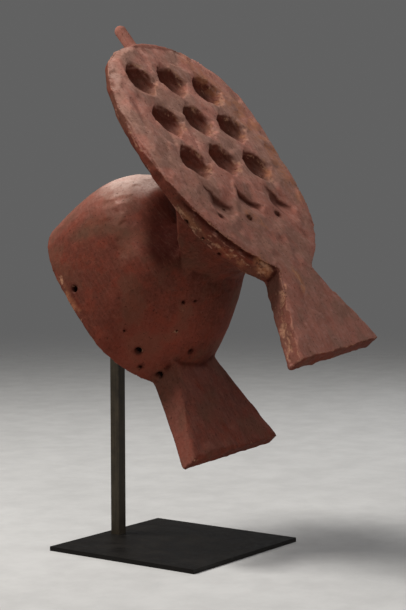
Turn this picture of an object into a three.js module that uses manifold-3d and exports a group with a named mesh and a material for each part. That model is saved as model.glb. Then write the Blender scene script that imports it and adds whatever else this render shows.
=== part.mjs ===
// A carved wooden cap mask with an open snout, on a square steel post and base plate.
// Millimetres, +Z up. The origin is the centre of the base plate's underside.
// The mask looks towards -Y. Its two sides mirror each other in the plane x = 0, but for what
// hand carving left: a slight drift of the slab, its pits and the jaws, and a wider slope along
// the slab's right side.

import * as THREE from 'three';
import { mergeVertices } from 'three/addons/utils/BufferGeometryUtils.js';
import Module from 'manifold-3d';

const wasm = await Module();
wasm.setup();

// Stand
const PLATE_SIDE = 200;
const PLATE_THICK = 5;
const POST_SIDE = 12;
const POST_BACK_MARGIN = 12.6;
const POST_INTO_HOLLOW = 300;
const POST_BLANK_TOP = 460;
const TOUCH_GAP = 0.3;

// Pose of the mask: its own frame has its origin in the middle of the rim of the hollow,
// x to the mask's left, y to the rear, z up to the slab. The whole work hangs nose down.
const NOSE_DOWN = THREE.MathUtils.degToRad(50);
const RIM_CENTRE_Y = 64;
const RIM_CENTRE_Z = 271;

// Helmet
const HELMET_REAR = 123;
const HELMET_FRONT = 117;
const HELMET_HALF_WIDTH = 98;
const CROWN_HEIGHT = 138;
const FLANK_HEIGHT = 141;
const FLANK_POWER = 2.6;
const REAR_POWER = 3.6;
const FRONT_POWER = 1.62;
const RIM_POWER = 2.45;

// Hollow for the head
const WALL = 17;
const REAR_WALL = 21;
const FRONT_WALL = 19;
const CROWN_WALL = 23;
const HOLLOW_POWER = 2.2;
const HOLLOW_REAR_POWER = 3.6;
const HOLLOW_FRONT_HEIGHT = 124;
const HOLLOW_BELOW_RIM = 12;

// Slab: a broad oval plate with its snout, lying over the helmet
const SLAB_TOP = 210;
const SLAB_REAR = 215;
const SLAB_WIDEST = 86;
const SLAB_HALF_WIDTH = 126.5;
const SLAB_POWER = 2.3;
const SLAB_REAR_THICK = 17;
const SLAB_NECK_THICK = 27;
const SLAB_DRIFT_REAR = 10.5;
const SLAB_DRIFT_FRONT = -3.5;
const SLAB_THIN_UNTIL = 20;
const SLAB_THICK_FROM = -75;
const SLAB_DRIFT_FROM = 170;
const SLAB_DRIFT_UNTIL = 20;
const SLAB_REAR_BEVEL = 8;
const SLAB_FRONT_BEVEL = 2;
const SLAB_REAR_SLOPE = 14;
const SLAB_BEVEL_FROM = 100;
const BEVEL_MOST = 0.3;
const SHOULDER = -25;
const DRAW_IN = -66;
const DRAW_IN_HALF_WIDTH = 97;
const WAIST = -109;
const WAIST_HALF_WIDTH = 32;
const UPPER_JAW_END = -208;
const UPPER_JAW_HALF_WIDTH = 87;
const UPPER_JAW_DROOP = 12;
const UPPER_JAW_END_THICK = 20.5;
const UPPER_JAW_SKEW = 0.08;
const UPPER_JAW_DRIFT = -1;

// Lower jaw: a wedge that leaves the front of the helmet at rim level
const LOWER_JAW_ROOT = -70;
const LOWER_JAW_NECK = -96;
const LOWER_JAW_END = -211.5;
const LOWER_JAW_NECK_HALF_WIDTH = 39;
const LOWER_JAW_HALF_WIDTH = 85;
const LOWER_JAW_NECK_THICK = 38;
const LOWER_JAW_END_THICK = 18;
const LOWER_JAW_FLARE_POWER = 1.15;
const LOWER_JAW_SIDE_SLOPE = 3;
const LOWER_JAW_BEVEL = 1.5;
const LOWER_JAW_SKEW = 0.05;
const LOWER_JAW_DRIFT = 3.5;

// Neck: the front of the helmet runs on up into the underside of the slab
const NECK_WAIST_HEIGHT = 128;
const NECK_SPREAD_HEIGHT = 116;
const NECK_TOP = 190;
const NECK_LEAN_HEIGHT = 170;
const NECK_STRAIGHT = 37;
const NECK_REAR = 8;
const NECK_HALF_WIDTH = 80;
const NECK_DRAW_POWER = 2.2;
const NECK_SPREAD = 20;
const NECK_SIDE_SPREAD = 16;
const NECK_BOW_POWER = 1.8;
const NECK_TOP_POWER = 2.2;
const NECK_REAR_POWER = 4;
const NECK_BLEND = 10;

// Valley between the crown and the neck: a trough across, and a recess on each flank. The
// recess leans with the nose. Each of its levels is measured in that leaning frame, from the
// middle of the rim: front is its steep front wall, corner its deepest place, and from there
// the rear wall bends at a knee and runs out to the rim. It gets shallow towards the cheek.
const TROUGH_Y = 20;
const TROUGH_DEPTH = 4;
const TROUGH_RADIUS = 42;
const RECESS_LEAN = NOSE_DOWN;
const RECESS_OUTSIDE = 135;
const RECESS_CORNER_RADIUS = 6;
const RECESS_OPENING = 8;
const RECESS_LEVELS = [
  { up: 146, front: -138, corner: 16, knee: [30, -76], rim: [56, -44] },
  { up: 124, front: -137, corner: 20, knee: [34, -82], rim: [58, -52] },
  { up: 102, front: -132, corner: 34, knee: [46, -88], rim: [68, -60] },
  { up: 84, front: -127, corner: 47, knee: [57, -95], rim: [75, -69] },
  { up: 70, front: -124, corner: 58, knee: [66, -102], rim: [80, -80] },
  { up: 56, front: -121, corner: 64, knee: [71, -107], rim: [83, -94] },
  { up: 42, front: -120, corner: 68, knee: [75, -108], rim: [86, -98] },
];

// Peg at the rear end of the slab
const PEG_RADIUS = 7.7;
const PEG_REACH = 38;
const PEG_ROOT = 14;
const PEG_BELOW_TOP = 15;
const PEG_ASIDE = -2;

// Pits in the slab: three columns, three deep rows and one shallow row
const PIT_LENGTH = 46;
const PIT_WIDTH = 44;
const PIT_DEPTH = 11.5;
const PIT_COLUMN_PITCH = 57;
const PIT_ROW_PITCH = 57.5;
const PIT_FIRST_ROW = 151;
const PIT_MIDDLE_SETBACK = 6;
const PIT_ROW_SKEW = 5;
const PIT_DRIFT = 5;
const PIT_SHIFT = 4.5;
const PIT_POWER = 1.7;
const PIT_FLOOR_SHARE = 0.5;
const PIT_WALL_CURVE = 1.6;
const PIT_BEND_DEPTH = 0.75;
const PIT_CUT_ABOVE = 3;
const SCOOP_DEPTH = 5;
const SCOOP_LENGTH = 42;
const SCOOP_WIDTH = 44;
const SCOOP_FLOOR_SHARE = 0.35;

// Drilled holes: three along each side of the rim, one in the front, three in the slab
const HOLE_RADIUS = 2.9;
const RIM_HOLES = [
  { x: 97, y: 19, z: 16, lead: 0, radius: 3.7 },
  { x: 75, y: -78, z: 28, lead: 0.8, radius: 3.8 },
  { x: 45, y: -103, z: 15, lead: 0.6, radius: 3.3 },
];
const FRONT_HOLE = { x: -23, y: -100, z: 51, aside: -0.2, rise: 0.4 };
const SLAB_HOLES = [{ x: -76, y: -36 }, { x: -27, y: -40 }, { x: 33, y: -35 }];
const SLAB_HOLE_DEPTH = 12;
const RIM_HOLE_REACH = 27;
const FRONT_HOLE_REACH = 33;

// Number of sides of the curved forms
const HELMET_SIDES = 44;
const HOLLOW_SIDES = 32;
const PEG_SIDES = 14;
const PIT_SIDES = 14;
const RECESS_STEPS = 8;
const HOLE_SIDES = 8;
const TROUGH_SIDES = 20;
const TROUGH_BANDS = 12;
const DRAW_IN_STEPS = 12;

// How finely outlines are searched for, and how near two corners count as one
const HALVINGS = 40;
const SAME_CORNER = 1e-4;

function toSolid(geometry) {
  const bare = geometry.clone();
  bare.deleteAttribute('normal');
  bare.deleteAttribute('uv');
  const merged = mergeVertices(bare, SAME_CORNER);
  const mesh = new wasm.Mesh({
    numProp: 3,
    vertProperties: new Float32Array(merged.attributes.position.array),
    triVerts: new Uint32Array(merged.index.array),
  });
  return new wasm.Manifold(mesh);
}

function toGeometry(solid) {
  const mesh = solid.getMesh();
  const geometry = new THREE.BufferGeometry();
  geometry.setAttribute('position', new THREE.BufferAttribute(mesh.vertProperties, 3));
  geometry.setIndex(new THREE.BufferAttribute(mesh.triVerts, 1));
  geometry.computeVertexNormals();
  return geometry;
}

// Six times the signed volume: positive where the faces point out.
function signedVolume(points, index) {
  let sum = 0;
  for (let i = 0; i < index.length; i += 3) {
    const [a, b, c] = [points[index[i]], points[index[i + 1]], points[index[i + 2]]];
    sum += a.dot(new THREE.Vector3().crossVectors(b, c));
  }
  return sum;
}

// A closed body through rings that have the same number of points, with flat fans as ends.
function loft(rings) {
  const count = rings[0].length;
  const centreOf = (ring) => ring.reduce((sum, p) => sum.add(p), new THREE.Vector3()).divideScalar(count);
  const points = [...rings.flat(), centreOf(rings[0]), centreOf(rings[rings.length - 1])];
  const firstCentre = points.length - 2;
  const lastCentre = points.length - 1;
  const lastRing = (rings.length - 1) * count;
  const index = [];
  for (let k = 0; k < count; k += 1) {
    const next = (k + 1) % count;
    for (let r = 0; r < rings.length - 1; r += 1) {
      const low = r * count;
      const high = low + count;
      index.push(low + k, low + next, high + next);
      index.push(low + k, high + next, high + k);
    }
    index.push(firstCentre, next, k);
    index.push(lastCentre, lastRing + k, lastRing + next);
  }
  if (signedVolume(points, index) < 0) {
    index.reverse();
  }
  const geometry = new THREE.BufferGeometry().setFromPoints(points);
  geometry.setIndex(index);
  return geometry;
}

// One point of a superellipse: power 2 is an ellipse, above it the outline is fuller.
function superPoint(angle, power) {
  const round = (value) => Math.sign(value) * Math.abs(value) ** (2 / power);
  return new THREE.Vector2(round(Math.cos(angle)), round(Math.sin(angle)));
}

// How wide a dome still is at a height, as a share of its base.
function domeShare(height, total, power) {
  const t = Math.min(height / total, 1);
  return (1 - t ** power) ** (1 / power);
}

function ovalRing({ halfWidth, front, rear, z, power, sides }) {
  const ring = [];
  for (let k = 0; k < sides; k += 1) {
    const p = superPoint((k / sides) * Math.PI * 2, power);
    const reach = p.y > 0 ? rear : front;
    ring.push(new THREE.Vector3(p.x * halfWidth, p.y * reach, z));
  }
  return ring;
}

// Distance from the middle to an outline in a direction. The outline is where the measure,
// which grows outward, reaches one.
function reachTo(angle, measure) {
  let inside = 0;
  let outside = 2 * HELMET_REAR;
  for (let k = 0; k < HALVINGS; k += 1) {
    const middle = (inside + outside) / 2;
    if (measure(Math.abs(Math.cos(angle)) * middle, Math.sin(angle) * middle) < 1) {
      inside = middle;
    } else {
      outside = middle;
    }
  }
  return inside;
}

// The dome of the helmet: full at the rear, rounding over to the crown.
function domeReach(angle, z) {
  const halfWidth = HELMET_HALF_WIDTH * domeShare(z, FLANK_HEIGHT, FLANK_POWER);
  const rear = HELMET_REAR * domeShare(z, CROWN_HEIGHT + 1, REAR_POWER);
  return reachTo(angle, (x, y) => (x / halfWidth) ** RIM_POWER + (Math.abs(y) / rear) ** RIM_POWER);
}

// The neck: the front half of the helmet, straight-sided and then drawn to a bow. It leans
// back as it rises and then spreads into the slab. Its blunt rear leaves a ridge on each flank.
function neckReach(angle, z) {
  const low = Math.min(z / NECK_WAIST_HEIGHT, 1);
  const above = Math.max(z - NECK_SPREAD_HEIGHT, 0) / (SLAB_TOP - SLAB_NECK_THICK - NECK_SPREAD_HEIGHT);
  const draw = (HELMET_HALF_WIDTH - NECK_HALF_WIDTH) * low ** NECK_DRAW_POWER;
  const halfWidth = HELMET_HALF_WIDTH - draw + NECK_SIDE_SPREAD * above * above;
  const lean = domeShare(low * NECK_WAIST_HEIGHT, NECK_LEAN_HEIGHT, FRONT_POWER);
  const front = HELMET_FRONT * lean + NECK_SPREAD * above * above;
  const straight = NECK_STRAIGHT * (1 - low);
  const bowPower = THREE.MathUtils.lerp(NECK_BOW_POWER, NECK_TOP_POWER, Math.min(above, 1));
  return reachTo(angle, (x, y) => {
    if (y > 0) {
      return (x / halfWidth) ** NECK_REAR_POWER + (y / NECK_REAR) ** NECK_REAR_POWER;
    }
    const along = Math.max(-y - straight, 0) / (front - straight);
    return (x / halfWidth) ** bowPower + along ** bowPower;
  });
}

// The larger of two lengths, rounded off where they are nearly alike.
function softMax(a, b, blend) {
  const near = Math.max(blend - Math.abs(a - b), 0);
  return Math.max(a, b) + (near * near) / (4 * blend);
}

function helmetAndNeck() {
  const domeSteps = 12;
  const heights = [];
  for (let k = 0; k < domeSteps; k += 1) {
    heights.push(CROWN_HEIGHT * Math.sin((k / domeSteps) * Math.PI * 0.5));
  }
  const closed = CROWN_HEIGHT + TOUCH_GAP;
  heights.push(closed);
  const neckSteps = 5;
  for (let k = 1; k <= neckSteps; k += 1) {
    heights.push(THREE.MathUtils.lerp(closed, NECK_TOP, k / neckSteps));
  }
  const rings = heights.map((z) => {
    const ring = [];
    for (let k = 0; k < HELMET_SIDES; k += 1) {
      const angle = (k / HELMET_SIDES) * Math.PI * 2;
      const behind = Math.sin(angle);
      let reach = neckReach(angle, z);
      if (behind > 0 && z < closed) {
        reach = softMax(reach, domeReach(angle, z), NECK_BLEND * behind);
      }
      ring.push(new THREE.Vector3(Math.cos(angle) * reach, Math.sin(angle) * reach, z));
    }
    return ring;
  });
  return toSolid(loft(rings));
}

// The hollow for the head, open at the rim: it starts a little below the rim plane.
function helmetHollow() {
  const steps = 9;
  const top = CROWN_HEIGHT - CROWN_WALL;
  const heights = [-HOLLOW_BELOW_RIM];
  for (let k = 0; k < steps; k += 1) {
    heights.push(top * Math.sin((k / steps) * Math.PI * 0.5));
  }
  const rings = heights.map((z) => {
    const height = Math.max(z, 0);
    return ovalRing({
      halfWidth: (HELMET_HALF_WIDTH - WALL) * domeShare(height, top + 1, FLANK_POWER),
      rear: (HELMET_REAR - REAR_WALL) * domeShare(height, top + 1, HOLLOW_REAR_POWER),
      front: (HELMET_FRONT - FRONT_WALL) * domeShare(height, HOLLOW_FRONT_HEIGHT, FRONT_POWER),
      z,
      power: HOLLOW_POWER,
      sides: HOLLOW_SIDES,
    });
  });
  return toSolid(loft(rings));
}

// One recess: a scoop with a steep front wall and a rear wall that runs out to the flank.
function recess(side) {
  const rings = RECESS_LEVELS.map(({ up, front, corner, knee, rim }) => {
    const rearWall = new THREE.SplineCurve([
      new THREE.Vector2(corner, front + RECESS_CORNER_RADIUS),
      new THREE.Vector2(...knee),
      new THREE.Vector2(...rim),
      new THREE.Vector2(RECESS_OUTSIDE, rim[1] + RECESS_OPENING),
    ]);
    const outline = [
      new THREE.Vector2(RECESS_OUTSIDE, front),
      new THREE.Vector2(corner + RECESS_CORNER_RADIUS, front),
      ...rearWall.getPoints(RECESS_STEPS),
    ];
    return outline.map((point) => new THREE.Vector3(point.x * side, point.y, up));
  });
  return toSolid(loft(rings).rotateX(-RECESS_LEAN));
}

// The valley between crown and neck: a trough across, and a recess on each flank.
function valley() {
  const trough = new THREE.SphereGeometry(1, TROUGH_SIDES, TROUGH_BANDS);
  trough.scale(HELMET_HALF_WIDTH, TROUGH_RADIUS, TROUGH_RADIUS);
  trough.translate(0, TROUGH_Y, CROWN_HEIGHT - TROUGH_DEPTH + TROUGH_RADIUS);
  return toSolid(trough).add(recess(-1)).add(recess(1));
}

// A section of slab or jaw across the length, with its four long edges bevelled. A bevel takes
// no more than a set share of the width or of the thickness. On top of the mask's right side it
// can slope further in.
function plankRing({ centre, top, bottom, halfTop, halfBottom, y, bevel, slope = bevel }) {
  const corner = Math.min(bevel, halfTop * BEVEL_MOST, (top - bottom) * BEVEL_MOST);
  const inward = Math.max(Math.min(slope, halfTop * BEVEL_MOST), corner);
  return [
    [halfTop, top - corner],
    [halfTop - corner, top],
    [inward - halfTop, top],
    [-halfTop, top - corner],
    [-halfBottom, bottom + corner],
    [corner - halfBottom, bottom],
    [halfBottom - corner, bottom],
    [halfBottom, bottom + corner],
  ].map(([x, z]) => new THREE.Vector3(centre + x, y, z));
}

// Half of the slab's outline: a full oval behind, a curve drawn in to the waist, a flare.
function slabOutline() {
  const outline = [];
  const rearSteps = 15;
  for (let k = 1; k <= rearSteps; k += 1) {
    const p = superPoint((1 - k / rearSteps) * Math.PI * 0.5, SLAB_POWER);
    outline.push(new THREE.Vector2(SLAB_WIDEST + (SLAB_REAR - SLAB_WIDEST) * p.y, SLAB_HALF_WIDTH * p.x));
  }
  const drawIn = new THREE.CubicBezierCurve(
    new THREE.Vector2(SLAB_WIDEST, SLAB_HALF_WIDTH),
    new THREE.Vector2(SHOULDER, SLAB_HALF_WIDTH),
    new THREE.Vector2(DRAW_IN, DRAW_IN_HALF_WIDTH),
    new THREE.Vector2(WAIST, WAIST_HALF_WIDTH),
  );
  outline.push(...drawIn.getPoints(DRAW_IN_STEPS).slice(1));
  const flareSteps = 4;
  for (let k = 1; k <= flareSteps; k += 1) {
    const share = k / flareSteps;
    outline.push(new THREE.Vector2(
      THREE.MathUtils.lerp(WAIST, UPPER_JAW_END, share),
      THREE.MathUtils.lerp(WAIST_HALF_WIDTH, UPPER_JAW_HALF_WIDTH, share),
    ));
  }
  return outline;
}

function slab() {
  const rings = slabOutline().map((point) => {
    const y = point.x;
    const jawShare = THREE.MathUtils.clamp((WAIST - y) / (WAIST - UPPER_JAW_END), 0, 1);
    const neckShare = THREE.MathUtils.smoothstep(-y, -SLAB_THIN_UNTIL, -SLAB_THICK_FROM);
    const driftShare = THREE.MathUtils.smoothstep(-y, -SLAB_DRIFT_FROM, -SLAB_DRIFT_UNTIL);
    const slabDrift = THREE.MathUtils.lerp(SLAB_DRIFT_REAR, SLAB_DRIFT_FRONT, driftShare);
    const drift = THREE.MathUtils.lerp(slabDrift, UPPER_JAW_DRIFT, jawShare);
    const bevelShare = THREE.MathUtils.smoothstep(-y, -SLAB_BEVEL_FROM, 0);
    const bevel = THREE.MathUtils.lerp(SLAB_REAR_BEVEL, SLAB_FRONT_BEVEL, bevelShare);
    const slope = THREE.MathUtils.lerp(SLAB_REAR_SLOPE, SLAB_FRONT_BEVEL, bevelShare);
    const top = SLAB_TOP - UPPER_JAW_DROOP * jawShare;
    const thick = THREE.MathUtils.lerp(
      THREE.MathUtils.lerp(SLAB_REAR_THICK, SLAB_NECK_THICK, neckShare),
      UPPER_JAW_END_THICK,
      jawShare,
    );
    const ring = plankRing({
      centre: drift,
      top,
      bottom: top - thick,
      halfTop: point.y,
      halfBottom: point.y,
      y,
      bevel,
      slope,
    });
    ring.forEach((corner) => {
      corner.y += corner.x * UPPER_JAW_SKEW * jawShare;
    });
    return ring;
  });
  return toSolid(loft(rings));
}

function lowerJaw() {
  const steps = 4;
  const stations = [LOWER_JAW_ROOT];
  for (let k = 0; k <= steps; k += 1) {
    stations.push(THREE.MathUtils.lerp(LOWER_JAW_NECK, LOWER_JAW_END, k / steps));
  }
  const rings = stations.map((y) => {
    const share = (LOWER_JAW_NECK - y) / (LOWER_JAW_NECK - LOWER_JAW_END);
    const flare = Math.max(share, 0) ** LOWER_JAW_FLARE_POWER;
    const halfTop = THREE.MathUtils.lerp(LOWER_JAW_NECK_HALF_WIDTH, LOWER_JAW_HALF_WIDTH, flare);
    const ring = plankRing({
      centre: LOWER_JAW_DRIFT * flare,
      top: THREE.MathUtils.lerp(LOWER_JAW_NECK_THICK, LOWER_JAW_END_THICK, share),
      bottom: 0,
      halfTop,
      halfBottom: halfTop + LOWER_JAW_SIDE_SLOPE,
      y,
      bevel: LOWER_JAW_BEVEL,
    });
    ring.forEach((corner) => {
      corner.y += corner.x * LOWER_JAW_SKEW * flare;
    });
    return ring;
  });
  return toSolid(loft(rings));
}

// Peg: a round pin with a domed end, lying along the slab.
function peg() {
  const straight = PEG_ROOT + PEG_REACH - PEG_RADIUS;
  const profile = [new THREE.Vector2(0, 0), new THREE.Vector2(PEG_RADIUS, 0)];
  const domeSteps = 4;
  for (let k = 0; k < domeSteps; k += 1) {
    const angle = (k / domeSteps) * Math.PI * 0.5;
    const round = new THREE.Vector2(Math.cos(angle), Math.sin(angle)).multiplyScalar(PEG_RADIUS);
    profile.push(new THREE.Vector2(round.x, straight + round.y));
  }
  profile.push(new THREE.Vector2(0, straight + PEG_RADIUS));
  const pin = new THREE.LatheGeometry(profile, PEG_SIDES);
  pin.translate(PEG_ASIDE, SLAB_REAR - PEG_ROOT, SLAB_TOP - PEG_BELOW_TOP);
  return toSolid(pin);
}

// A pit is a rounded diamond that narrows to its floor. The floor lies towards one side,
// so that the wall there is steep and the others slope.
function pit({ x, y, length, width, depth, floorShare }) {
  const rings = [PIT_CUT_ABOVE, 0, -depth * PIT_BEND_DEPTH, -depth].map((height) => {
    const share = Math.max(-height / depth, 0) ** PIT_WALL_CURVE;
    const scale = THREE.MathUtils.lerp(1, floorShare, share);
    const slide = PIT_SHIFT * share;
    const ring = [];
    for (let k = 0; k < PIT_SIDES; k += 1) {
      const p = superPoint((k / PIT_SIDES) * Math.PI * 2, PIT_POWER);
      ring.push(new THREE.Vector3(
        x - slide + p.x * (width / 2) * scale,
        y + slide + p.y * (length / 2) * scale,
        SLAB_TOP + height,
      ));
    }
    return ring;
  });
  return toSolid(loft(rings));
}

function pits() {
  const cuts = [];
  const lastRow = 3;
  for (let row = 0; row <= lastRow; row += 1) {
    const shallow = row === lastRow;
    const rearShare = 1 - row / lastRow;
    for (let column = -1; column <= 1; column += 1) {
      const middle = column === 0 ? PIT_MIDDLE_SETBACK : 0;
      const skew = column * PIT_ROW_SKEW * rearShare;
      cuts.push(pit({
        x: column * PIT_COLUMN_PITCH + PIT_DRIFT * rearShare,
        y: PIT_FIRST_ROW - row * PIT_ROW_PITCH + middle - skew,
        length: shallow ? SCOOP_LENGTH : PIT_LENGTH,
        width: shallow ? SCOOP_WIDTH : PIT_WIDTH,
        depth: shallow ? SCOOP_DEPTH : PIT_DEPTH,
        floorShare: shallow ? SCOOP_FLOOR_SHARE : PIT_FLOOR_SHARE,
      }));
    }
  }
  return cuts;
}

// A drilled hole through a point, along a direction, reaching the same depth both ways.
function hole(point, direction, reach, radius) {
  const drill = new THREE.CylinderGeometry(radius, radius, reach * 2, HOLE_SIDES);
  const axis = new THREE.Vector3(0, 1, 0);
  drill.applyQuaternion(new THREE.Quaternion().setFromUnitVectors(axis, direction.clone().normalize()));
  drill.translate(point.x, point.y, point.z);
  return toSolid(drill);
}

// Holes for a costume along the rim, through the wall on both sides, one over the lower
// jaw, and three blind holes in the slab.
function holes() {
  const cuts = [];
  for (const side of [-1, 1]) {
    for (const { x, y, z, lead, radius } of RIM_HOLES) {
      const outward = new THREE.Vector3(side, -lead, 0);
      cuts.push(hole(new THREE.Vector3(x * side, y, z), outward, RIM_HOLE_REACH, radius));
    }
  }
  const { x, y, z, aside, rise } = FRONT_HOLE;
  const forward = new THREE.Vector3(aside, -1, rise);
  cuts.push(hole(new THREE.Vector3(x, y, z), forward, FRONT_HOLE_REACH, HOLE_RADIUS));
  for (const place of SLAB_HOLES) {
    const mouth = new THREE.Vector3(place.x, place.y, SLAB_TOP);
    cuts.push(hole(mouth, new THREE.Vector3(0, 0, 1), SLAB_HOLE_DEPTH, HOLE_RADIUS));
  }
  return cuts;
}

function mask() {
  let solid = helmetAndNeck().subtract(valley()).add(slab()).add(lowerJaw()).add(peg());
  const cuts = [helmetHollow(), ...pits(), ...holes()];
  for (const cut of cuts) {
    solid = solid.subtract(cut);
  }
  return solid;
}

const toWorld = new THREE.Matrix4()
  .makeTranslation(0, RIM_CENTRE_Y, RIM_CENTRE_Z)
  .multiply(new THREE.Matrix4().makeRotationX(NOSE_DOWN));

// The post stands near the back edge of the plate and runs up into the hollow, where its
// top is cut to lie along the inside of the rear wall.
function post() {
  const y = PLATE_SIDE / 2 - POST_BACK_MARGIN - POST_SIDE / 2;
  const bottom = PLATE_THICK + TOUCH_GAP;
  const lower = new THREE.BoxGeometry(POST_SIDE, POST_SIDE, POST_INTO_HOLLOW - bottom);
  lower.translate(0, y, (POST_INTO_HOLLOW + bottom) / 2);
  const overlap = 1;
  const upper = new THREE.BoxGeometry(POST_SIDE, POST_SIDE, POST_BLANK_TOP - POST_INTO_HOLLOW + overlap);
  upper.translate(0, y, (POST_BLANK_TOP + POST_INTO_HOLLOW - overlap) / 2);
  const inside = new THREE.Matrix4().makeTranslation(0, -TOUCH_GAP, -TOUCH_GAP).multiply(toWorld);
  const room = helmetHollow().transform(inside.elements);
  return toSolid(lower).add(toSolid(upper).intersect(room));
}

const wood = new THREE.MeshStandardMaterial({ color: 0x7d4a40, roughness: 0.82, metalness: 0 });
const steelPost = new THREE.MeshStandardMaterial({ color: 0x2a2622, roughness: 0.45, metalness: 0.6 });
const steelPlate = new THREE.MeshStandardMaterial({ color: 0x26221e, roughness: 0.45, metalness: 0.6 });

const object = new THREE.Group();

const maskPose = new THREE.Group();
maskPose.position.set(0, RIM_CENTRE_Y, RIM_CENTRE_Z);
maskPose.rotation.x = NOSE_DOWN;
const maskMesh = new THREE.Mesh(toGeometry(mask()), wood);
maskMesh.name = 'mask';
maskPose.add(maskMesh);
object.add(maskPose);

const postMesh = new THREE.Mesh(toGeometry(post()), steelPost);
postMesh.name = 'stand_post';
object.add(postMesh);

const plate = new THREE.BoxGeometry(PLATE_SIDE, PLATE_SIDE, PLATE_THICK);
plate.translate(0, 0, PLATE_THICK / 2);
const plateMesh = new THREE.Mesh(plate, steelPlate);
plateMesh.name = 'stand_base_plate';
object.add(plateMesh);

export default object;
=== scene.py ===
# %% [markdown]
# The object is a cap mask, carved from one block of wood and worn on top of the head. Here it is
# held nose down on a square steel post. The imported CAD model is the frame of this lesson: it
# fixes every size and place, in metres. The work could also be modelled again from nothing, but
# then it would have to be fitted to the frame afterwards. Dressing the frame where it stands
# keeps each piece true to it.

# %% Load the frame
import math

import bmesh
import bpy
import numpy as np
from mathutils import Matrix, Vector, kdtree, noise


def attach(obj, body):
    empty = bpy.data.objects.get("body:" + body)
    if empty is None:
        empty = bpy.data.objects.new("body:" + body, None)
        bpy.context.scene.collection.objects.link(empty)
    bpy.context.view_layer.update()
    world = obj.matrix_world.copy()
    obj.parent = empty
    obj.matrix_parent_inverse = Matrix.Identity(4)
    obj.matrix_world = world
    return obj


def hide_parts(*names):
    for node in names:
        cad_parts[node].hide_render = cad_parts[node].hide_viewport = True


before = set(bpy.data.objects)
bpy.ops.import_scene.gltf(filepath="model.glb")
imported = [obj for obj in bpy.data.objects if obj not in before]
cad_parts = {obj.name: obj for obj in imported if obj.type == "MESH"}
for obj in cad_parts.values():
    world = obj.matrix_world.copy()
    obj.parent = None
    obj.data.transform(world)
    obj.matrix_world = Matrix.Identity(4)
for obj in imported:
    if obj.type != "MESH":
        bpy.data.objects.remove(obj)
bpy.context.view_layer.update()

MM = 0.001
print("CAD nodes:", sorted(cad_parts))

# %% [markdown]
# The camera stands where the photographer stood: to the mask's right and a little above its
# jaws, with a long lens. A long lens keeps the far jaw nearly as large as the near one, so the
# distance matters as much as the angle. Place, angles and focal length are written down as
# measured, because aiming a camera at the middle of the object by a constraint would lose them.

# %% Camera
PICTURE_HEIGHT = 610
FOCAL_LENGTH_PIXELS = 1682
SENSOR_SIZE = 36
CAMERA_PLACE = Vector((-1.513, -1.134, 0.408))
CAMERA_HEADING = math.radians(54.154)
CAMERA_DIP = math.radians(4.020)
CAMERA_ROLL = math.radians(0.138)

camera_data = bpy.data.cameras.new("camera")
camera_data.sensor_width = SENSOR_SIZE
camera_data.lens = FOCAL_LENGTH_PIXELS * SENSOR_SIZE / PICTURE_HEIGHT
camera = bpy.data.objects.new("camera", camera_data)
bpy.context.scene.collection.objects.link(camera)
camera.matrix_world = (
    Matrix.Translation(CAMERA_PLACE)
    @ Matrix.Rotation(-CAMERA_HEADING, 4, "Z")
    @ Matrix.Rotation(math.pi / 2 - CAMERA_DIP, 4, "X")
    @ Matrix.Rotation(-CAMERA_ROLL, 4, "Z")
)
bpy.context.scene.camera = camera
print("Lens:", round(camera_data.lens, 1), "mm")

# %% [markdown]
# Soft studio light comes from large lamps. The main one hangs over the work and a little behind
# it, on the camera's left, so that it brushes the crown and the rear edge of the slab and leaves
# the hollow flank in shade. A weak lamp beside the camera opens the shadows. Sun lamps would be
# simpler to place, but their hard shadows would hide the tool marks.

# %% Lights
def area_lamp(name, place, target, size, power, colour):
    """A square lamp that faces a point."""
    data = bpy.data.lights.new(name, "AREA")
    data.size = size
    data.energy = power
    data.color = colour
    lamp = bpy.data.objects.new(name, data)
    bpy.context.scene.collection.objects.link(lamp)
    lamp.location = place
    lamp.rotation_euler = (Vector(target) - Vector(place)).to_track_quat("-Z", "Y").to_euler()
    return lamp


LIT_POINT = (0, 0, 0.32)
LAMPS = {
    "main_lamp": {"place": (-0.65, 0.85, 1.9), "size": 0.7, "power": 44, "colour": (1.0, 0.98, 0.95)},
    "front_lamp": {"place": (-0.9, -2.0, 1.1), "size": 1.2, "power": 12, "colour": (1.0, 0.97, 0.95)},
    "far_lamp": {"place": (1.7, -0.3, 0.9), "size": 0.9, "power": 7, "colour": (0.93, 0.96, 1.0)},
}
SURROUNDINGS = (0.80, 0.80, 0.80, 1)
SURROUNDINGS_STRENGTH = 0.15

for name, lamp in LAMPS.items():
    area_lamp(name, target=LIT_POINT, **lamp)
world = bpy.data.worlds.new("studio")
world.use_nodes = True
background = world.node_tree.nodes["Background"]
background.inputs["Color"].default_value = SURROUNDINGS
background.inputs["Strength"].default_value = SURROUNDINGS_STRENGTH
bpy.context.scene.world = world
bpy.context.scene.view_settings.view_transform = "Standard"

# %% [markdown]
# A mesh holds its points in Blender's own memory. To shape more than a hundred thousand of them
# in a few seconds, they are read into an array, moved there all at once, and written back. These
# small helpers do that, and the rest of the lesson builds on them.

# %% Helpers that read and write a mesh as arrays
HALFWAY = 0.5


def points_of(mesh):
    """The places of a mesh's vertices, one row each."""
    flat = np.empty(len(mesh.vertices) * 3, np.float32)
    mesh.vertices.foreach_get("co", flat)
    return flat.reshape(-1, 3).astype(float)


def normals_of(mesh):
    """The directions in which a mesh's vertices face, one row each."""
    flat = np.empty(len(mesh.vertices) * 3, np.float32)
    mesh.vertex_normals.foreach_get("vector", flat)
    return flat.reshape(-1, 3).astype(float)


def edges_of(mesh):
    """The two vertices at the ends of each edge, one row each."""
    flat = np.empty(len(mesh.edges) * 2, np.int32)
    mesh.edges.foreach_get("vertices", flat)
    return flat.reshape(-1, 2)


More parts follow.
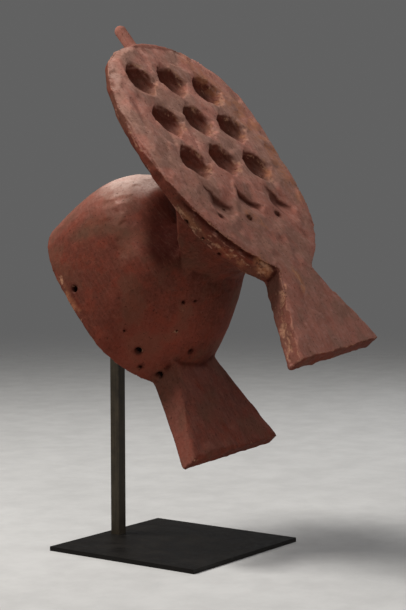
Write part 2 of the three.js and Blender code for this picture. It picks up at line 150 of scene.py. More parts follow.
def move_points(mesh, points):
    """Write new places into a mesh's vertices."""
    mesh.vertices.foreach_set("co", points.astype(np.float32).ravel())
    mesh.update()


def ramp(value, low, high):
    """0 below low, 1 above high, and a smooth rise between."""
    share = np.clip((value - low) / (high - low), 0, 1)
    return share * share * (3 - 2 * share)


def eased(values, edges, share, rounds):
    """Values drawn towards the mean of their neighbours along the edges, round after round."""
    table = values.reshape(len(values), -1).copy()
    count = np.bincount(edges.ravel(), minlength=len(values))[:, None].astype(float)
    share = np.broadcast_to(share, len(values))[:, None]
    for _ in range(rounds):
        total = np.empty_like(table)
        for column in range(table.shape[1]):
            one_way = np.bincount(edges[:, 0], table[edges[:, 1], column], len(values))
            other_way = np.bincount(edges[:, 1], table[edges[:, 0], column], len(values))
            total[:, column] = one_way + other_way
        table += share * (total / count - table)
    return table.reshape(values.shape)


def eased_part(points, edges, share, rounds):
    """Points eased only where their share is above 0, which is quicker on a small part."""
    reached = edges[(share > 0)[edges].any(1)]
    members, own_edges = np.unique(reached, return_inverse=True)
    result = points.copy()
    result[members] = eased(points[members], own_edges.reshape(-1, 2), share[members], rounds)
    return result


def bake_modifiers(piece):
    """Make the shape that a piece's modifiers give its own mesh, and drop the modifiers."""
    depsgraph = bpy.context.evaluated_depsgraph_get()
    shaped = bpy.data.meshes.new_from_object(piece.evaluated_get(depsgraph))
    worn_out = piece.data
    piece.modifiers.clear()
    piece.data = shaped
    bpy.data.meshes.remove(worn_out)
    return shaped


def new_piece(name, mesh):
    """An object for a mesh, linked to the scene."""
    piece = bpy.data.objects.new(name, mesh)
    bpy.context.scene.collection.objects.link(piece)
    return piece


print("A ramp from 0 to 1, read at a quarter:", round(float(ramp(0.25, 0, 1)), 3))

# %% [markdown]
# The mask is one block of wood, so it is one mesh. The CAD solid has its true form in flat
# facets. A subdivision surface would round them, but it would pull the edges of the slab off
# their places. A voxel remesh instead gives the same form in small even cells, which can then be
# eased where the wood is smooth, left alone where it has an edge, and carved like the real block.

# %% The mask as an even skin
SKIN_CELL = 1.6 * MM

mask = new_piece("carved_mask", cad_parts["mask"].data.copy())
remesh = mask.modifiers.new("even cells", "REMESH")
remesh.mode = "VOXEL"
remesh.voxel_size = SKIN_CELL
skin = bake_modifiers(mask)
edges = edges_of(skin)
points = points_of(skin)
print("Skin:", len(points), "points")

# %% [markdown]
# Carving is easiest to describe in the mask's own directions: x to its left, y to its rear and z
# up to the slab, from the middle of the rim of the hollow, in millimetres. The stand turns the
# mask nose down, so places are turned back before they are measured.

# %% The mask's own directions
NOSE_DOWN = math.radians(50)
RIM_CENTRE = np.array((0, 0.064, 0.271))
POSE = np.array(Matrix.Rotation(NOSE_DOWN, 3, "X"))


def to_mask(points):
    """Places in the scene, in metres, as places on the mask, in millimetres."""
    return (points - RIM_CENTRE) @ POSE / MM


def to_scene(places):
    """Places on the mask, in millimetres, as places in the scene, in metres."""
    return np.asarray(places, float) * MM @ POSE.T + RIM_CENTRE


places = to_mask(points)
print("Mask, own box:", places.min(0).round(1), places.max(0).round(1))

# %% [markdown]
# Where the directions of neighbouring points differ much, there is an edge of the carving. Where
# they differ little, there is only the border of two CAD facets. The skin is eased by that: long
# where it is nearly flat, and just enough at an edge to give it the softness of old wood.

# %% Ease the facets and keep the edges
BEND_ROUNDS = 6
FLAT_BEND = 0.006
EDGE_BEND = 0.035
EASE_ROUNDS = 40
EASE_FLAT = 0.6
EASE_EDGE = 0.035

bend = 1 - np.linalg.norm(eased(normals_of(skin), edges, HALFWAY, BEND_ROUNDS), axis=1)
edginess = ramp(bend, FLAT_BEND, EDGE_BEND)
share = EASE_FLAT + (EASE_EDGE - EASE_FLAT) * edginess
points = eased(points, edges, share, EASE_ROUNDS)
move_points(skin, points)
print("Share of the skin near an edge:", round(float(edginess.mean()), 3))

# %% [markdown]
# A carver works each part of the block with another stroke. The pits are chopped with a narrow
# blade, the recess on each flank is gouged downwards, the hollow is scooped out, and the slab and
# the jaws are dressed along the grain. So each part gets a measure from 0 to 1 that says how much
# a point belongs to it. Painted weights would do the same, but they can't be read or changed.
# The pits come first: three rows of deep ones and a row of shallow scoops, three to a row.

# %% The pits in the slab
PIT_ROWS = 4
DEEP_ROWS = 3
PIT_COLUMNS = (-1, 0, 1)
PIT_SIZE = (44, 46)
PIT_PITCH = (57, 57.5)
PIT_FIRST_ROW = 151
PIT_MIDDLE_SETBACK = 6
PIT_ROW_SKEW = 5
PIT_DRIFT = 5
PIT_POWER = 1.7
PIT_FLOOR = 190
SLAB_TOP = 210


def pit_centres():
    """The middle of each pit and shallow scoop in the slab, with its row."""
    for row in range(PIT_ROWS):
        rear_share = 1 - row / (PIT_ROWS - 1)
        for column in PIT_COLUMNS:
            setback = 0 if column else PIT_MIDDLE_SETBACK
            x = column * PIT_PITCH[0] + PIT_DRIFT * rear_share
            y = PIT_FIRST_ROW - row * PIT_PITCH[1] + setback - column * PIT_ROW_SKEW * rear_share
            yield row, x, y


def pit_reach(places, x, y):
    """How far out of a pit's middle a place lies: 1 is the pit's rim."""
    across = np.abs(places[:, 0] - x) / (PIT_SIZE[0] / 2)
    along = np.abs(places[:, 1] - y) / (PIT_SIZE[1] / 2)
    return (across**PIT_POWER + along**PIT_POWER) ** (1 / PIT_POWER)


print("Pits:", [(row, round(x), round(y)) for row, x, y in pit_centres()][:3], "and so on")

# %% [markdown]
# Between the slab and the crown the wood is gouged away behind the neck's two ridges, and the
# gouging runs out as a scooped recess on each flank, which is painted dark as the shade under the
# slab. Its borders are written as the mask stands: how far back they lie at a few heights. A
# closed curve laid on the skin could bound it as well, but would have to be laid again whenever
# the form changes.

# %% The valley under the slab, and the recess on each flank
VALLEY_UP = (44, 56, 64, 85, 106, 125, 150)
VALLEY_REAR = (-100, -93, -86, -76, -69, -65, -63)
VALLEY_FRONT = (-120, -121, -123, -127, -132, -137, -138)
VALLEY_SOFT = 10
VALLEY_FOOT = (42, 56)
ABOVE_CROWN = (96, 104)
BELOW_SLAB = 184
RIDGE_SOFT = 3
DARK_SHIFT = 5
DARK_SOFT = 13
DARK_FOOT = (38, 62)


def upright_of(places):
    """How far places lie aside, back and up as the mask stands, in millimetres."""
    upright = places @ POSE.T
    return np.abs(upright[:, 0]), upright[:, 1], upright[:, 2]


def valley_borders(up):
    """How far back the valley's rear rim and its front ridge lie at a height."""
    return np.interp(up, VALLEY_UP, VALLEY_REAR), np.interp(up, VALLEY_UP, VALLEY_FRONT)


def behind_ridge(places):
    """1 behind the neck's ridge and below the slab."""
    _, back, up = upright_of(places)
    front = valley_borders(up)[1]
    return (places[:, 2] < BELOW_SLAB) * ramp(back + RIDGE_SOFT - front, 0, RIDGE_SOFT)


def valley_shares(places):
    """How much a place belongs to the valley, and to its inside, which is painted dark as shade."""
    _, back, up = upright_of(places)
    rear = valley_borders(up)[0]
    under_slab = behind_ridge(places) * ramp(places[:, 2], *ABOVE_CROWN)
    share = ramp(rear + VALLEY_SOFT - back, 0, VALLEY_SOFT) * ramp(up, *VALLEY_FOOT) * under_slab
    dark = ramp(rear + DARK_SHIFT - back, 0, DARK_SOFT) * ramp(up, *DARK_FOOT) * under_slab
    return share, dark


print("Share of the skin in the valley:", round(float(valley_shares(places)[0].mean()), 3))

# %% [markdown]
# The recess has no sharp rim. The flank rolls into it, its foot fades out on the flank, and hands
# have worn its front ridge a little. Many rounds of easing, on these bands alone, give that. A
# bevel would ask for an edge to follow, and there is none.

# %% Let the valley roll in softly
RIM_SHIFT = 2
RIM_BAND = (12, 24)
RIM_FOOT = (36, 46)
RIM_ABOVE = (72, 100)
FOOT_UP = ((26, 36), (60, 74))
FOOT_BACK = ((-127, -119), (-96, -86))
FOOT_ASIDE = (50, 60)
FOOT_ABOVE = 90
RIDGE_BAND = (4, 12)
RIDGE_TOP = (104, 120)
RIDGE_BELOW = 176
RIDGE_ASIDE = (40, 50)
RIDGE_SHARE = 0.15
INSIDE_SHARE = 0.2
RIM_ROUNDS = 220
RIM_EASE = 0.6


def valley_rims(places):
    """How much a place belongs to the soft rims of the valley."""
    aside, back, up = upright_of(places)
    rear, front = valley_borders(up)
    z = places[:, 2]
    rim = (1 - ramp(np.abs(back - rear - RIM_SHIFT), *RIM_BAND)) * ramp(up, *RIM_FOOT)
    rim = rim * behind_ridge(places) * ramp(z, *RIM_ABOVE)
    foot = ramp(up, *FOOT_UP[0]) * (1 - ramp(up, *FOOT_UP[1]))
    foot = foot * ramp(back, *FOOT_BACK[0]) * (1 - ramp(back, *FOOT_BACK[1]))
    foot *= ramp(aside, *FOOT_ASIDE) * (z < BELOW_SLAB) * (z > FOOT_ABOVE)
    ridge = (1 - ramp(np.abs(back - front), *RIDGE_BAND)) * ramp(up, *RIM_FOOT)
    ridge = ridge * (1 - ramp(up, *RIDGE_TOP))
    ridge *= RIDGE_SHARE * (z < RIDGE_BELOW) * ramp(aside, *RIDGE_ASIDE)
    return np.maximum.reduce([rim, foot, ridge, INSIDE_SHARE * valley_shares(places)[1]])


valley_rim = valley_rims(places)
points = eased_part(points, edges, RIM_EASE * valley_rim, RIM_ROUNDS)
move_points(skin, points)
places = to_mask(points)
facing = normals_of(skin) @ POSE
print("Share of the skin at the valley's rims:", round(float(valley_rim.mean()), 3))

# %% [markdown]
# Now every point can be told its part. The hollow is known by facing inwards, the pits by their
# rims, and slab, jaw and valley by where they lie. What is left is the helmet. Separate pieces
# would make this easier, but the mask is one block, and seams would show.

# %% All parts of the carving
PIT_EDGE = (0.86, 1.0)
PIT_DEEPEST = PIT_FLOOR - 4
LOOKS_DOWN = -0.2
SLAB_FROM = (178, 186)
WAIST = -100
JAW_DROOP = 0.1
PEG_ROOT = (204, 209)
HOLLOW_HEART = np.array((0, 0, 40))
HOLLOW_HALF_WIDTH = 90
HOLLOW_HALF_LENGTH = 112
HOLLOW_HEIGHTS = (-2, 119)
JAW_FROM = (92, 104)
JAW_BELOW = (60, 80)


def pit_share(places, facing):
    """How much a place belongs to the inside of a deep pit."""
    share = np.zeros(len(places))
    for row, pit_x, pit_y in pit_centres():
        inside = (row < DEEP_ROWS) * (1 - ramp(pit_reach(places, pit_x, pit_y), *PIT_EDGE))
        share = np.maximum(share, inside * (places[:, 2] > PIT_DEEPEST) * (facing[:, 2] > LOOKS_DOWN))
    return share


def parts_of(places, facing):
    """Six measures for each place: pit, slab, recess, hollow, lower jaw and helmet."""
    x, y, z = places.T
    pit = pit_share(places, facing)
    slab = ramp(z + JAW_DROOP * np.minimum(y - WAIST, 0), *SLAB_FROM) * (1 - pit)
    slab = slab * (1 - ramp(y, *PEG_ROOT))
    recess = valley_shares(places)[0] * (1 - slab) * (1 - pit)
    faces_in = ((places - HOLLOW_HEART) * facing).sum(1) < 0
    hollow = faces_in & (np.abs(x) < HOLLOW_HALF_WIDTH) & (np.abs(y) < HOLLOW_HALF_LENGTH)
    hollow = (hollow & (z > HOLLOW_HEIGHTS[0]) & (z < HOLLOW_HEIGHTS[1])).astype(float)
    jaw = ramp(-y, *JAW_FROM) * (1 - ramp(z, *JAW_BELOW)) * (1 - hollow)
    helmet = np.clip(1 - pit - slab - recess - hollow - jaw, 0, 1) * (y < PEG_ROOT[0])
    return {"pit": pit, "slab": slab, "recess": recess, "hollow": hollow, "jaw": jaw, "helmet": helmet}


parts = parts_of(places, facing)
for part_name, share in parts.items():
    print("Share of the skin in", part_name, round(float(share.mean()), 3))

# %% [markdown]
# An adze leaves shallow flats that meet in soft ridges. They are made from random points on the
# skin, one flat to each. A flat lies along the skin there, tipped a little, and every other point
# moves on to the flat of the nearest ones. Cells that are long one way give long strokes. A noise
# texture would be quicker, but it makes lumps, not cuts.

# %% A helper that cuts a part of the skin into tool flats
FLATS_MIXED = 4
SIDE_APART = 0.6
MOST_CUT = 1.1
LEAST_AGREEMENT = 0.3
STEEPEST = 0.5


def tool_flats(belongs, cell, tilt, crispness, seed, turn):
    """How far each point moves along its normal, in millimetres, to lie on flats of a tool."""
    chosen = np.flatnonzero(belongs > 0)
    random = np.random.default_rng(seed)
    here, toward = places[chosen], facing[chosen]
    cells = (here @ turn) / cell + toward @ turn * SIDE_APART
    order = random.permutation(len(chosen))
    _, first = np.unique(np.floor(cells[order] + random.random(3)), axis=0, return_index=True)
    seeds = order[first]
    tree = kdtree.KDTree(len(seeds))
    for index, seed_cell in enumerate(cells[seeds]):
        tree.insert(seed_cell, index)
    tree.balance()
    found = [tree.find_n(cell_place, FLATS_MIXED) for cell_place in cells]
    nearest = np.array([[hit[1] for hit in hits] for hits in found])
    distance = np.array([[hit[2] for hit in hits] for hits in found])
    tipped = toward[seeds] + random.normal(0, tilt, (len(seeds), 3))
    tipped /= np.linalg.norm(tipped, axis=1)[:, None]
    flat_normal = tipped[nearest]
    agree = (flat_normal * toward[:, None]).sum(2)
    rise = ((here[seeds][nearest] - here[:, None]) * flat_normal).sum(2) / np.maximum(agree, STEEPEST)
    rise = np.clip(rise, -MOST_CUT, MOST_CUT) * (agree > LEAST_AGREEMENT)
    weight = np.exp(-crispness * (distance**2 - distance[:, :1] ** 2))
    moved = np.zeros(len(places))
    moved[chosen] = (weight * rise).sum(1) / weight.sum(1)
    print("Flats:", len(seeds), "mean cut", round(float(np.abs(moved[chosen]).mean()), 2), "mm")
    return moved


print("A flat cuts at most", MOST_CUT, "mm")

# %% [markdown]
# Each part has its own stroke: the size of a flat, how far it tips, how crisp the ridges between
# flats are, and the seed of its random numbers. Crown and recess were worked as the mask stands,
# the other parts along its length. The low flank is rubbed smooth, so its flats are shallower, and
# the scooping took a little more off the hollow's wall.

# %% Cut the flats of every part
UPRIGHT = POSE.T
LENGTHWISE = np.eye(3)
STROKES = {
    "helmet": ((17, 17, 9), 0.075, 8, 11, UPRIGHT),
    "slab": ((14, 24, 11), 0.085, 9, 12, LENGTHWISE),
    "jaw": ((13, 26, 11), 0.028, 5, 13, LENGTHWISE),
    "hollow": ((14, 14, 26), 0.05, 9, 14, LENGTHWISE),
    "pit": ((4.5, 18, 4.5), 0.2, 9, 15, LENGTHWISE),
    "recess": ((7, 7, 40), 0.05, 6, 16, UPRIGHT),
}
CROWN_HEIGHTS = (84, 118)
FLANK_SHARE = 0.3
HOLLOW_SINK = 0.8

crown = FLANK_SHARE + (1 - FLANK_SHARE) * ramp(places[:, 2], *CROWN_HEIGHTS)
cut = np.zeros(len(places))
for part_name, (cell, *stroke) in STROKES.items():
    reach = parts[part_name] * (crown if part_name == "helmet" else 1)
    deeper = HOLLOW_SINK if part_name == "hollow" else 0
    cut += reach * (tool_flats(parts[part_name], np.array(cell), *stroke) - deeper)
print("Deepest cut:", round(float(cut.min()), 2), "mm")

# %% [markdown]
# The top of the slab rolls over into its side, because an edge of soft old wood wears first. Each
# point on top is lowered by its distance from the nearest point of the side. A bevel would cut
# a strip of even width instead, and this edge is anything but even.

# %% Round the shoulder of the slab
SHOULDER_WIDTH = 11
SHOULDER_DROP = 1.3
SHOULDER_POWER = 1.5
SIDE_FACING = 0.4
SIDE_FROM = 192
TOP_FACING = 0.6
TOP_FROM = SLAB_TOP - 6

on_side = (np.abs(facing[:, 2]) < SIDE_FACING) & (parts["slab"] > HALFWAY) & (places[:, 2] > SIDE_FROM)
side_tree = kdtree.KDTree(int(on_side.sum()))
for index, (x, y) in enumerate(places[on_side, :2]):
    side_tree.insert((x, y, 0), index)
side_tree.balance()
on_top = np.flatnonzero((facing[:, 2] > TOP_FACING) & (parts["slab"] > 0) & (places[:, 2] > TOP_FROM))
from_side = np.array([side_tree.find((x, y, 0))[2] for x, y in places[on_top, :2]])
sink = np.zeros(len(places))
sink[on_top] = SHOULDER_DROP * (1 - np.minimum(from_side / SHOULDER_WIDTH, 1)) ** SHOULDER_POWER
print("Points on top of the slab:", len(on_top))

# %% [markdown]
# Seen from above, a pit is not round but drawn out to four corners, where the blade left it. So
# the wood round each pit is lowered a little, within a diamond that reaches further to the left
# and the rear. The same could be sculpted, nine times over.

# %% Draw the pits out to their corners
FLARE_LEFT_REAR = (30, 31)
FLARE_RIGHT_FRONT = (24, 26)
FLARE_SLOPE = 14
FLARE_DEEPEST = 3
FLARE_HEIGHTS = (SLAB_TOP - 9, SLAB_TOP - 3)

for row, pit_x, pit_y in pit_centres():
    aside, back = places[:, 0] - pit_x, places[:, 1] - pit_y
    across = np.maximum(aside / FLARE_LEFT_REAR[0], -aside / FLARE_RIGHT_FRONT[0])
    along = np.maximum(back / FLARE_LEFT_REAR[1], -back / FLARE_RIGHT_FRONT[1])
    flare = np.clip(FLARE_SLOPE * (1 - across - along), 0, FLARE_DEEPEST)
    sink = np.maximum(sink, (row < DEEP_ROWS) * flare * ramp(places[:, 2], *FLARE_HEIGHTS))
print("Flared share:", round(float((sink > 0).mean()), 3))

# %% [markdown]
# The fourth row was only begun. Each scoop there is one slanting cut: deepest along a straight
# wall on its far side, and running out towards the near side. It is measured across that line,
# like a wedge. A cutter would do too, but would leave the near rim sharp.

# %% Give each shallow scoop its steep far wall
SCOOP_START = (-14, 7)
SCOOP_COURSE = (30, -32)
SCOOP_STEP = 2.6
SCOOP_WIDTH = 17
SCOOP_WALL = 0.8
SCOOP_LOWEST = SLAB_TOP - 8


def scoop_shares(places):
    """How deep a place lies in a scoop: 1 at the foot of its far wall, 0 at its near rim."""
    share = np.zeros(len(places))
    course = np.array(SCOOP_COURSE, float)
    length = np.linalg.norm(course)
    for row, pit_x, _ in pit_centres():
        if row < DEEP_ROWS:
            continue
        from_start = places[:, :2] - (pit_x + SCOOP_START[0], SCOOP_START[1])
        along = from_start @ course / length**2
        near = (from_start[:, 0] * course[1] - from_start[:, 1] * course[0]) / length
        fall = np.clip(1 - near / SCOOP_WIDTH, 0, 1) * ramp(near, -SCOOP_WALL, SCOOP_WALL)
        taper = np.sqrt(np.clip(4 * along * (1 - along), 0, 1))
        share = np.maximum(share, fall * taper * (places[:, 2] > SCOOP_LOWEST))
    return share


sink = np.maximum(sink, SCOOP_STEP * scoop_shares(places))
print("Lowered share:", round(float((sink > 0).mean()), 3))

# %% [markdown]
# No hand keeps a long edge straight, and old wood loses splinters. Both come from a soft noise
# that is read at every point: a coarse one bends the surface a little, a fine one decides where a
# chip is gone. Sculpting them by hand would look as good, but it could not be repeated on a
# changed form. The helpers for this measure noise, edges and the distance from a line.

# %% Noise and edges, point by point
NOISE_FALL = 1.0
NOISE_STEP = 2.0
NOISE_OCTAVES = 3
LINE_CORE = 0.25
EDGE_ROUNDS = 8


def lumps(places, size, shift):
    """Soft noise of a size in millimetres, about -1 to 1."""
    return np.array([noise.fractal(Vector(place), NOISE_FALL, NOISE_STEP, NOISE_OCTAVES)
                     for place in places / size + shift])


def bulge(points, normals, rounds):
    """How far each point stands out from the eased skin around it, in millimetres."""
    return ((points - eased(points, edges, HALFWAY, rounds)) * normals).sum(1) / MM


def near_line(places, start, end, width):
    """1 on the line between two places, and 0 from a width away."""
    start, end = np.array(start, float), np.array(end, float)
    course = end - start
    along = np.clip((places - start) @ course / max(course @ course, 1), 0, 1)
    distance = np.linalg.norm(places - start - along[:, None] * course, axis=1)
    return 1 - ramp(distance, LINE_CORE * width, width)


stands_out = bulge(points, normals_of(skin), EDGE_ROUNDS)
print("Sharpest edge stands out", round(float(stands_out.max()), 2), "mm")

# %% [markdown]
# Chips sit where the skin stands out from its surroundings. Most of them are along the right side
# of the slab, on that side of the upper jaw, and on the far walls of the pits, above all in the
# left column. Each place gets a measure of how brittle it is, which lowers the level that the
# noise has to reach. Random chips everywhere would be simpler, and would look like a texture.

# %% Where the wood flakes
CHIP_SIZE = np.array((5, 11, 3.5))
CHIP_LEAN = 0.36
CHIP_LEVEL = (0.46, 0.6)
LEAST_BRITTLE = 0.04
EDGE_OUT = (0.35, 1.0)
EDGE_BRITTLE = 0.55
SLAB_SIDE = ((-118, -12, 195), (-95, -56, 194), (-47, -101, 196))
SLAB_SIDE_WIDTH = 5.5
SLAB_SIDE_BRITTLE = 0.85
JAW_SIDE = ((-46, -130, 199), (-81, -200, 188))
JAW_SIDE_WIDTH = 10
JAW_SIDE_BRITTLE = 0.9
FAR_WALL = (2, 12)
FAR_WALL_BRITTLE = 0.65
LEFT_COLUMN = 40
LEFT_COLUMN_MORE = 0.4
PIT_RIM_BAND = (0.08, 0.22)
PIT_RIM_HEIGHTS = (SLAB_TOP - 8, SLAB_TOP - 4)
RIGHT_FACING = -0.5


def brittle_share(places, facing, stands_out, parts):
    """How readily the wood flakes at each place."""
    x, _, z = places.T
    brittle = EDGE_BRITTLE * ramp(stands_out, *EDGE_OUT) * (1 - parts["hollow"])
    for start, end in zip(SLAB_SIDE, SLAB_SIDE[1:]):
        brittle = np.maximum(brittle, SLAB_SIDE_BRITTLE * near_line(places, start, end, SLAB_SIDE_WIDTH))
    jaw_side = near_line(places, *JAW_SIDE, JAW_SIDE_WIDTH) * (facing[:, 0] < RIGHT_FACING)
    brittle = np.maximum(brittle, JAW_SIDE_BRITTLE * jaw_side)
    for row, pit_x, pit_y in pit_centres():
        wall_brittle = FAR_WALL_BRITTLE + LEFT_COLUMN_MORE * (pit_x > LEFT_COLUMN)
        far_wall = ramp(x - pit_x, *FAR_WALL) * (row < DEEP_ROWS) * wall_brittle
        rim_band = 1 - ramp(np.abs(pit_reach(places, pit_x, pit_y) - 1), *PIT_RIM_BAND)
        brittle = np.maximum(brittle, far_wall * rim_band * ramp(z, *PIT_RIM_HEIGHTS))
    return brittle


def chips_at(places, brittle):
    """1 where a chip is gone: where the noise is high, and lower where the wood is brittle."""
    level = lumps(places, CHIP_SIZE, 31) + CHIP_LEAN * brittle
    return ramp(level, *CHIP_LEVEL) * (brittle > LEAST_BRITTLE)


chips = chips_at(places, brittle_share(places, facing, stands_out, parts))
print("Share of the skin that flaked:", round(float(chips.mean()), 4))

# %% [markdown]
# The chips are now taken off, and with them goes the last of the evenness: a slow bend of all
# surfaces and a faint waver along the edges. The inside of the hollow keeps its form. All of it
# is only noted in one array first, so that the skin moves once, after the grooves are known.

# %% Chip, bend and waver
CHIP_DEPTH = 0.8
BEND_SIZE = 45
BEND_DEPTH = 0.5
WAVER_SIZE = 16
WAVER_DEPTH = 0.5

outside = 1 - parts["hollow"]
cut -= CHIP_DEPTH * chips
cut -= outside * BEND_DEPTH * (0.5 + 0.5 * lumps(places, BEND_SIZE, 32))
cut -= outside * WAVER_DEPTH * ramp(stands_out, *EDGE_OUT) * (0.5 + 0.5 * lumps(places, WAVER_SIZE, 33))
print("Mean cut so far:", round(float(cut.mean()), 2), "mm")

# %% [markdown]
# Some marks have their own place: the groove that runs from the peg to the first pits, the
# seam under the slab's right edge, which is later painted dark as its shade, and a few bruises
# where the wood shows pale. Each is a line with a width and a depth, as if a small gouge had
# been drawn along it once.

# %% Grooves and bruises
GROOVES = (
    ((-18, 207, 210), (-24, 171, 210), 5.0, 0.7),
    ((-119, -8, 202), (-111, -29, 204), 2.6, 1.2),
    ((-111, -29, 204), (-96, -55, 204), 3.2, 2.0),
    ((-96, -55, 204), (-73, -80, 203), 3.6, 2.4),
    ((-73, -80, 203), (-40, -106, 205), 3.6, 2.4),
)
BRUISES = (
    ((-116, -16, 192), (-114, -19, 188), 4.0, 1.2),
    ((-11, -116, 209), (-12, -134, 206), 3.6, 0.7),
    ((-50, -137, 203), (-53, -146, 197), 4.5, 0.9),
    ((-63, -168, 190), (-67, -174, 186), 5.0, 0.9),
    ((-77, -190, 189), (-79, -196, 186), 4.0, 0.8),
    ((-94, 42, 8), (-95, 36, 6), 3.0, 0.5),
    ((-50, -70, 89), (-50, -70, 88), 2.4, 0.5),
    ((-53, 180, 210), (-38, 176, 210), 3.4, 0.8),
)
RIM_CALM = 0.9
LAST_EASE = 0.25

for start, end, width, depth in GROOVES + BRUISES:
    cut -= depth * near_line(places, start, end, width)
cut *= 1 - RIM_CALM * valley_rim
points = points + (normals_of(skin) * cut[:, None] - POSE[:, 2] * sink[:, None]) * MM
points = eased(points, edges, LAST_EASE, 1)
move_points(skin, points)
print("Grooves:", len(GROOVES), "bruises:", len(BRUISES))

# %% [markdown]
# The holes let a costume be tied on. They were drilled or burnt with a hot iron, so they are
# round and clean inside. One cutter carries a slightly uneven round bar for each of them and is
# subtracted from the skin in one go. Denting the skin instead would leave funnels, not holes.

# %% Bars for the holes
BAR_SIDES = 18
BAR_UNEVEN = (0.95, 1.06)
RIM_HOLES = (((97, 19, 16), 0.0, 3.9), ((75, -78, 28), 0.8, 4.0), ((45, -103, 15), 0.6, 3.5))
RIM_REACH = 27
FRONT_HOLE = ((-23, -100, 51), (-0.2, -1, 0.4), 33, 3.2)
SLAB_HOLES = ((-76, -36), (-27, -40), (33, -35))
SLAB_HOLE_DEPTH = 12
SLAB_HOLE_RADIUS = 3.8
PRICKS = (
    ((-64, -87, 12), 2.2, 6), ((-51.5, -64.7, 97), 1.8, 5), ((-40.6, -68.2, 103), 1.4, 4),
    ((-49, -82, 67), 1.3, 4), ((-87, -54, 36), 1.2, 4), ((-111, -28, 190), 2.2, 6),
    ((-100, -49, 189), 1.4, 4), ((-84, -69, 186), 1.9, 6), ((-54, -23, 205), 1.4, 5),
)


def bar(place, course, reach, radius, seed):
    """Corners and faces of a round bar through a place, as long both ways."""
    course = Vector(course).normalized()
    turn = course.to_track_quat("Z", "Y").to_matrix()
    uneven = np.random.default_rng(seed).uniform(*BAR_UNEVEN, BAR_SIDES)
    corners = []
    for end in (-reach, reach):
        for side in range(BAR_SIDES):
            angle = 2 * math.pi * side / BAR_SIDES
            rim_point = Vector((math.cos(angle), math.sin(angle), 0)) * radius * uneven[side]
            corners.append(Vector(place) + turn @ (rim_point + Vector((0, 0, end))))
    ends = [list(reversed(range(BAR_SIDES))), list(range(BAR_SIDES, 2 * BAR_SIDES))]
    sides = [[a, (a + 1) % BAR_SIDES, (a + 1) % BAR_SIDES + BAR_SIDES, a + BAR_SIDES]
             for a in range(BAR_SIDES)]
    return corners, ends + sides


bars = []
for place, lead, radius in RIM_HOLES:
    for side in (-1, 1):
        mirrored = (place[0] * side, place[1], place[2])
        bars.append(bar(mirrored, (side, -lead, 0), RIM_REACH, radius, len(bars)))
bars.append(bar(*FRONT_HOLE, len(bars)))
for x, y in SLAB_HOLES:
    bars.append(bar((x, y, SLAB_TOP), (0, 0, 1), SLAB_HOLE_DEPTH, SLAB_HOLE_RADIUS, len(bars)))
for place, radius, depth in PRICKS:
    nearest = np.linalg.norm(places - place, axis=1).argmin()
    bars.append(bar(places[nearest], facing[nearest], depth, radius, len(bars)))
print("Bars:", len(bars))

# %% [markdown]
# All bars become one mesh, and one Boolean modifier takes it from the skin. Its exact solver would
# allow bars that touch, but the manifold solver is many times quicker and both meshes are closed.
# The middle lines of the bars are kept, because the wood is darker round a hole.

# %% Cut the holes
corners, faces, hole_lines = [], [], []
for bar_corners, bar_faces in bars:
    faces += [[len(corners) + index for index in face] for face in bar_faces]
    corners += [tuple(corner) for corner in bar_corners]
    near_end, far_end = np.array(bar_corners[:BAR_SIDES]), np.array(bar_corners[BAR_SIDES:])
    radius = np.linalg.norm(near_end - near_end.mean(0), axis=1).mean()
    hole_lines.append((near_end.mean(0), far_end.mean(0), radius))
bar_mesh = bpy.data.meshes.new("bars")
bar_mesh.from_pydata(to_scene(corners).tolist(), [], faces)
cutter = new_piece("bars", bar_mesh)
drilling = mask.modifiers.new("drill", "BOOLEAN")
drilling.operation = "DIFFERENCE"
drilling.solver = "MANIFOLD"
drilling.object = cutter
skin = bake_modifiers(mask)
bpy.data.objects.remove(cutter)
bpy.data.meshes.remove(bar_mesh)
print("Skin after drilling:", len(skin.vertices), "points")

# %% [markdown]
# The finish follows the form: dark in hollows and creases, where dirt settles and where the dark
# also stands in as painted shade, rubbed to bare wood on the edges, dusty, and on the crown
# painted lighter as a highlight, where the surface looks up. So the carved skin is measured once
# more, and each measure is stored on the mesh as an attribute, one number to a point. A picture
# painted over the mask could hold the same, but it would need unwrapping and would blur.

# %% Measure the finished surface
WEAR_ROUNDS = 6
WEAR_OUT = (0.12, 0.8)
JAW_LESS_WORN = 0.7
NECK_LESS_WORN = 0.8
NECK_FROM = (80, 95)
NECK_TOP = 186
NECK_REAR = 25
CAVITY_ROUNDS = 60
CAVITY_DEEP = (0.15, 2.2)
HOLE_DARK_REACH = 2

points = points_of(skin)
edges = edges_of(skin)
normals = normals_of(skin)
places = to_mask(points)
facing = normals @ POSE
parts = parts_of(places, facing)
x, y, z = places.T

stands_out = bulge(points, normals, WEAR_ROUNDS)
lies_deep = -bulge(points, normals, CAVITY_ROUNDS)
# Darker round and inside each hole.
near_holes = np.maximum.reduce([near_line(places, start, end, HOLE_DARK_REACH * radius)
                           for start, end, radius in hole_lines])
worn = ramp(stands_out, *WEAR_OUT) * (1 - parts["hollow"]) * (1 - near_holes) * (1 - JAW_LESS_WORN * parts["jaw"])
worn *= 1 - NECK_LESS_WORN * ramp(z, *NECK_FROM) * (z < NECK_TOP) * (y < NECK_REAR)
# How deep a point lies in a hollow: the dark it gives is dirt and painted shade.
cavity_dirt_and_shade = ramp(lies_deep, *CAVITY_DEEP)
print("Worn:", round(float(worn.mean()), 3), "sheltered:", round(float(cavity_dirt_and_shade.mean()), 3))
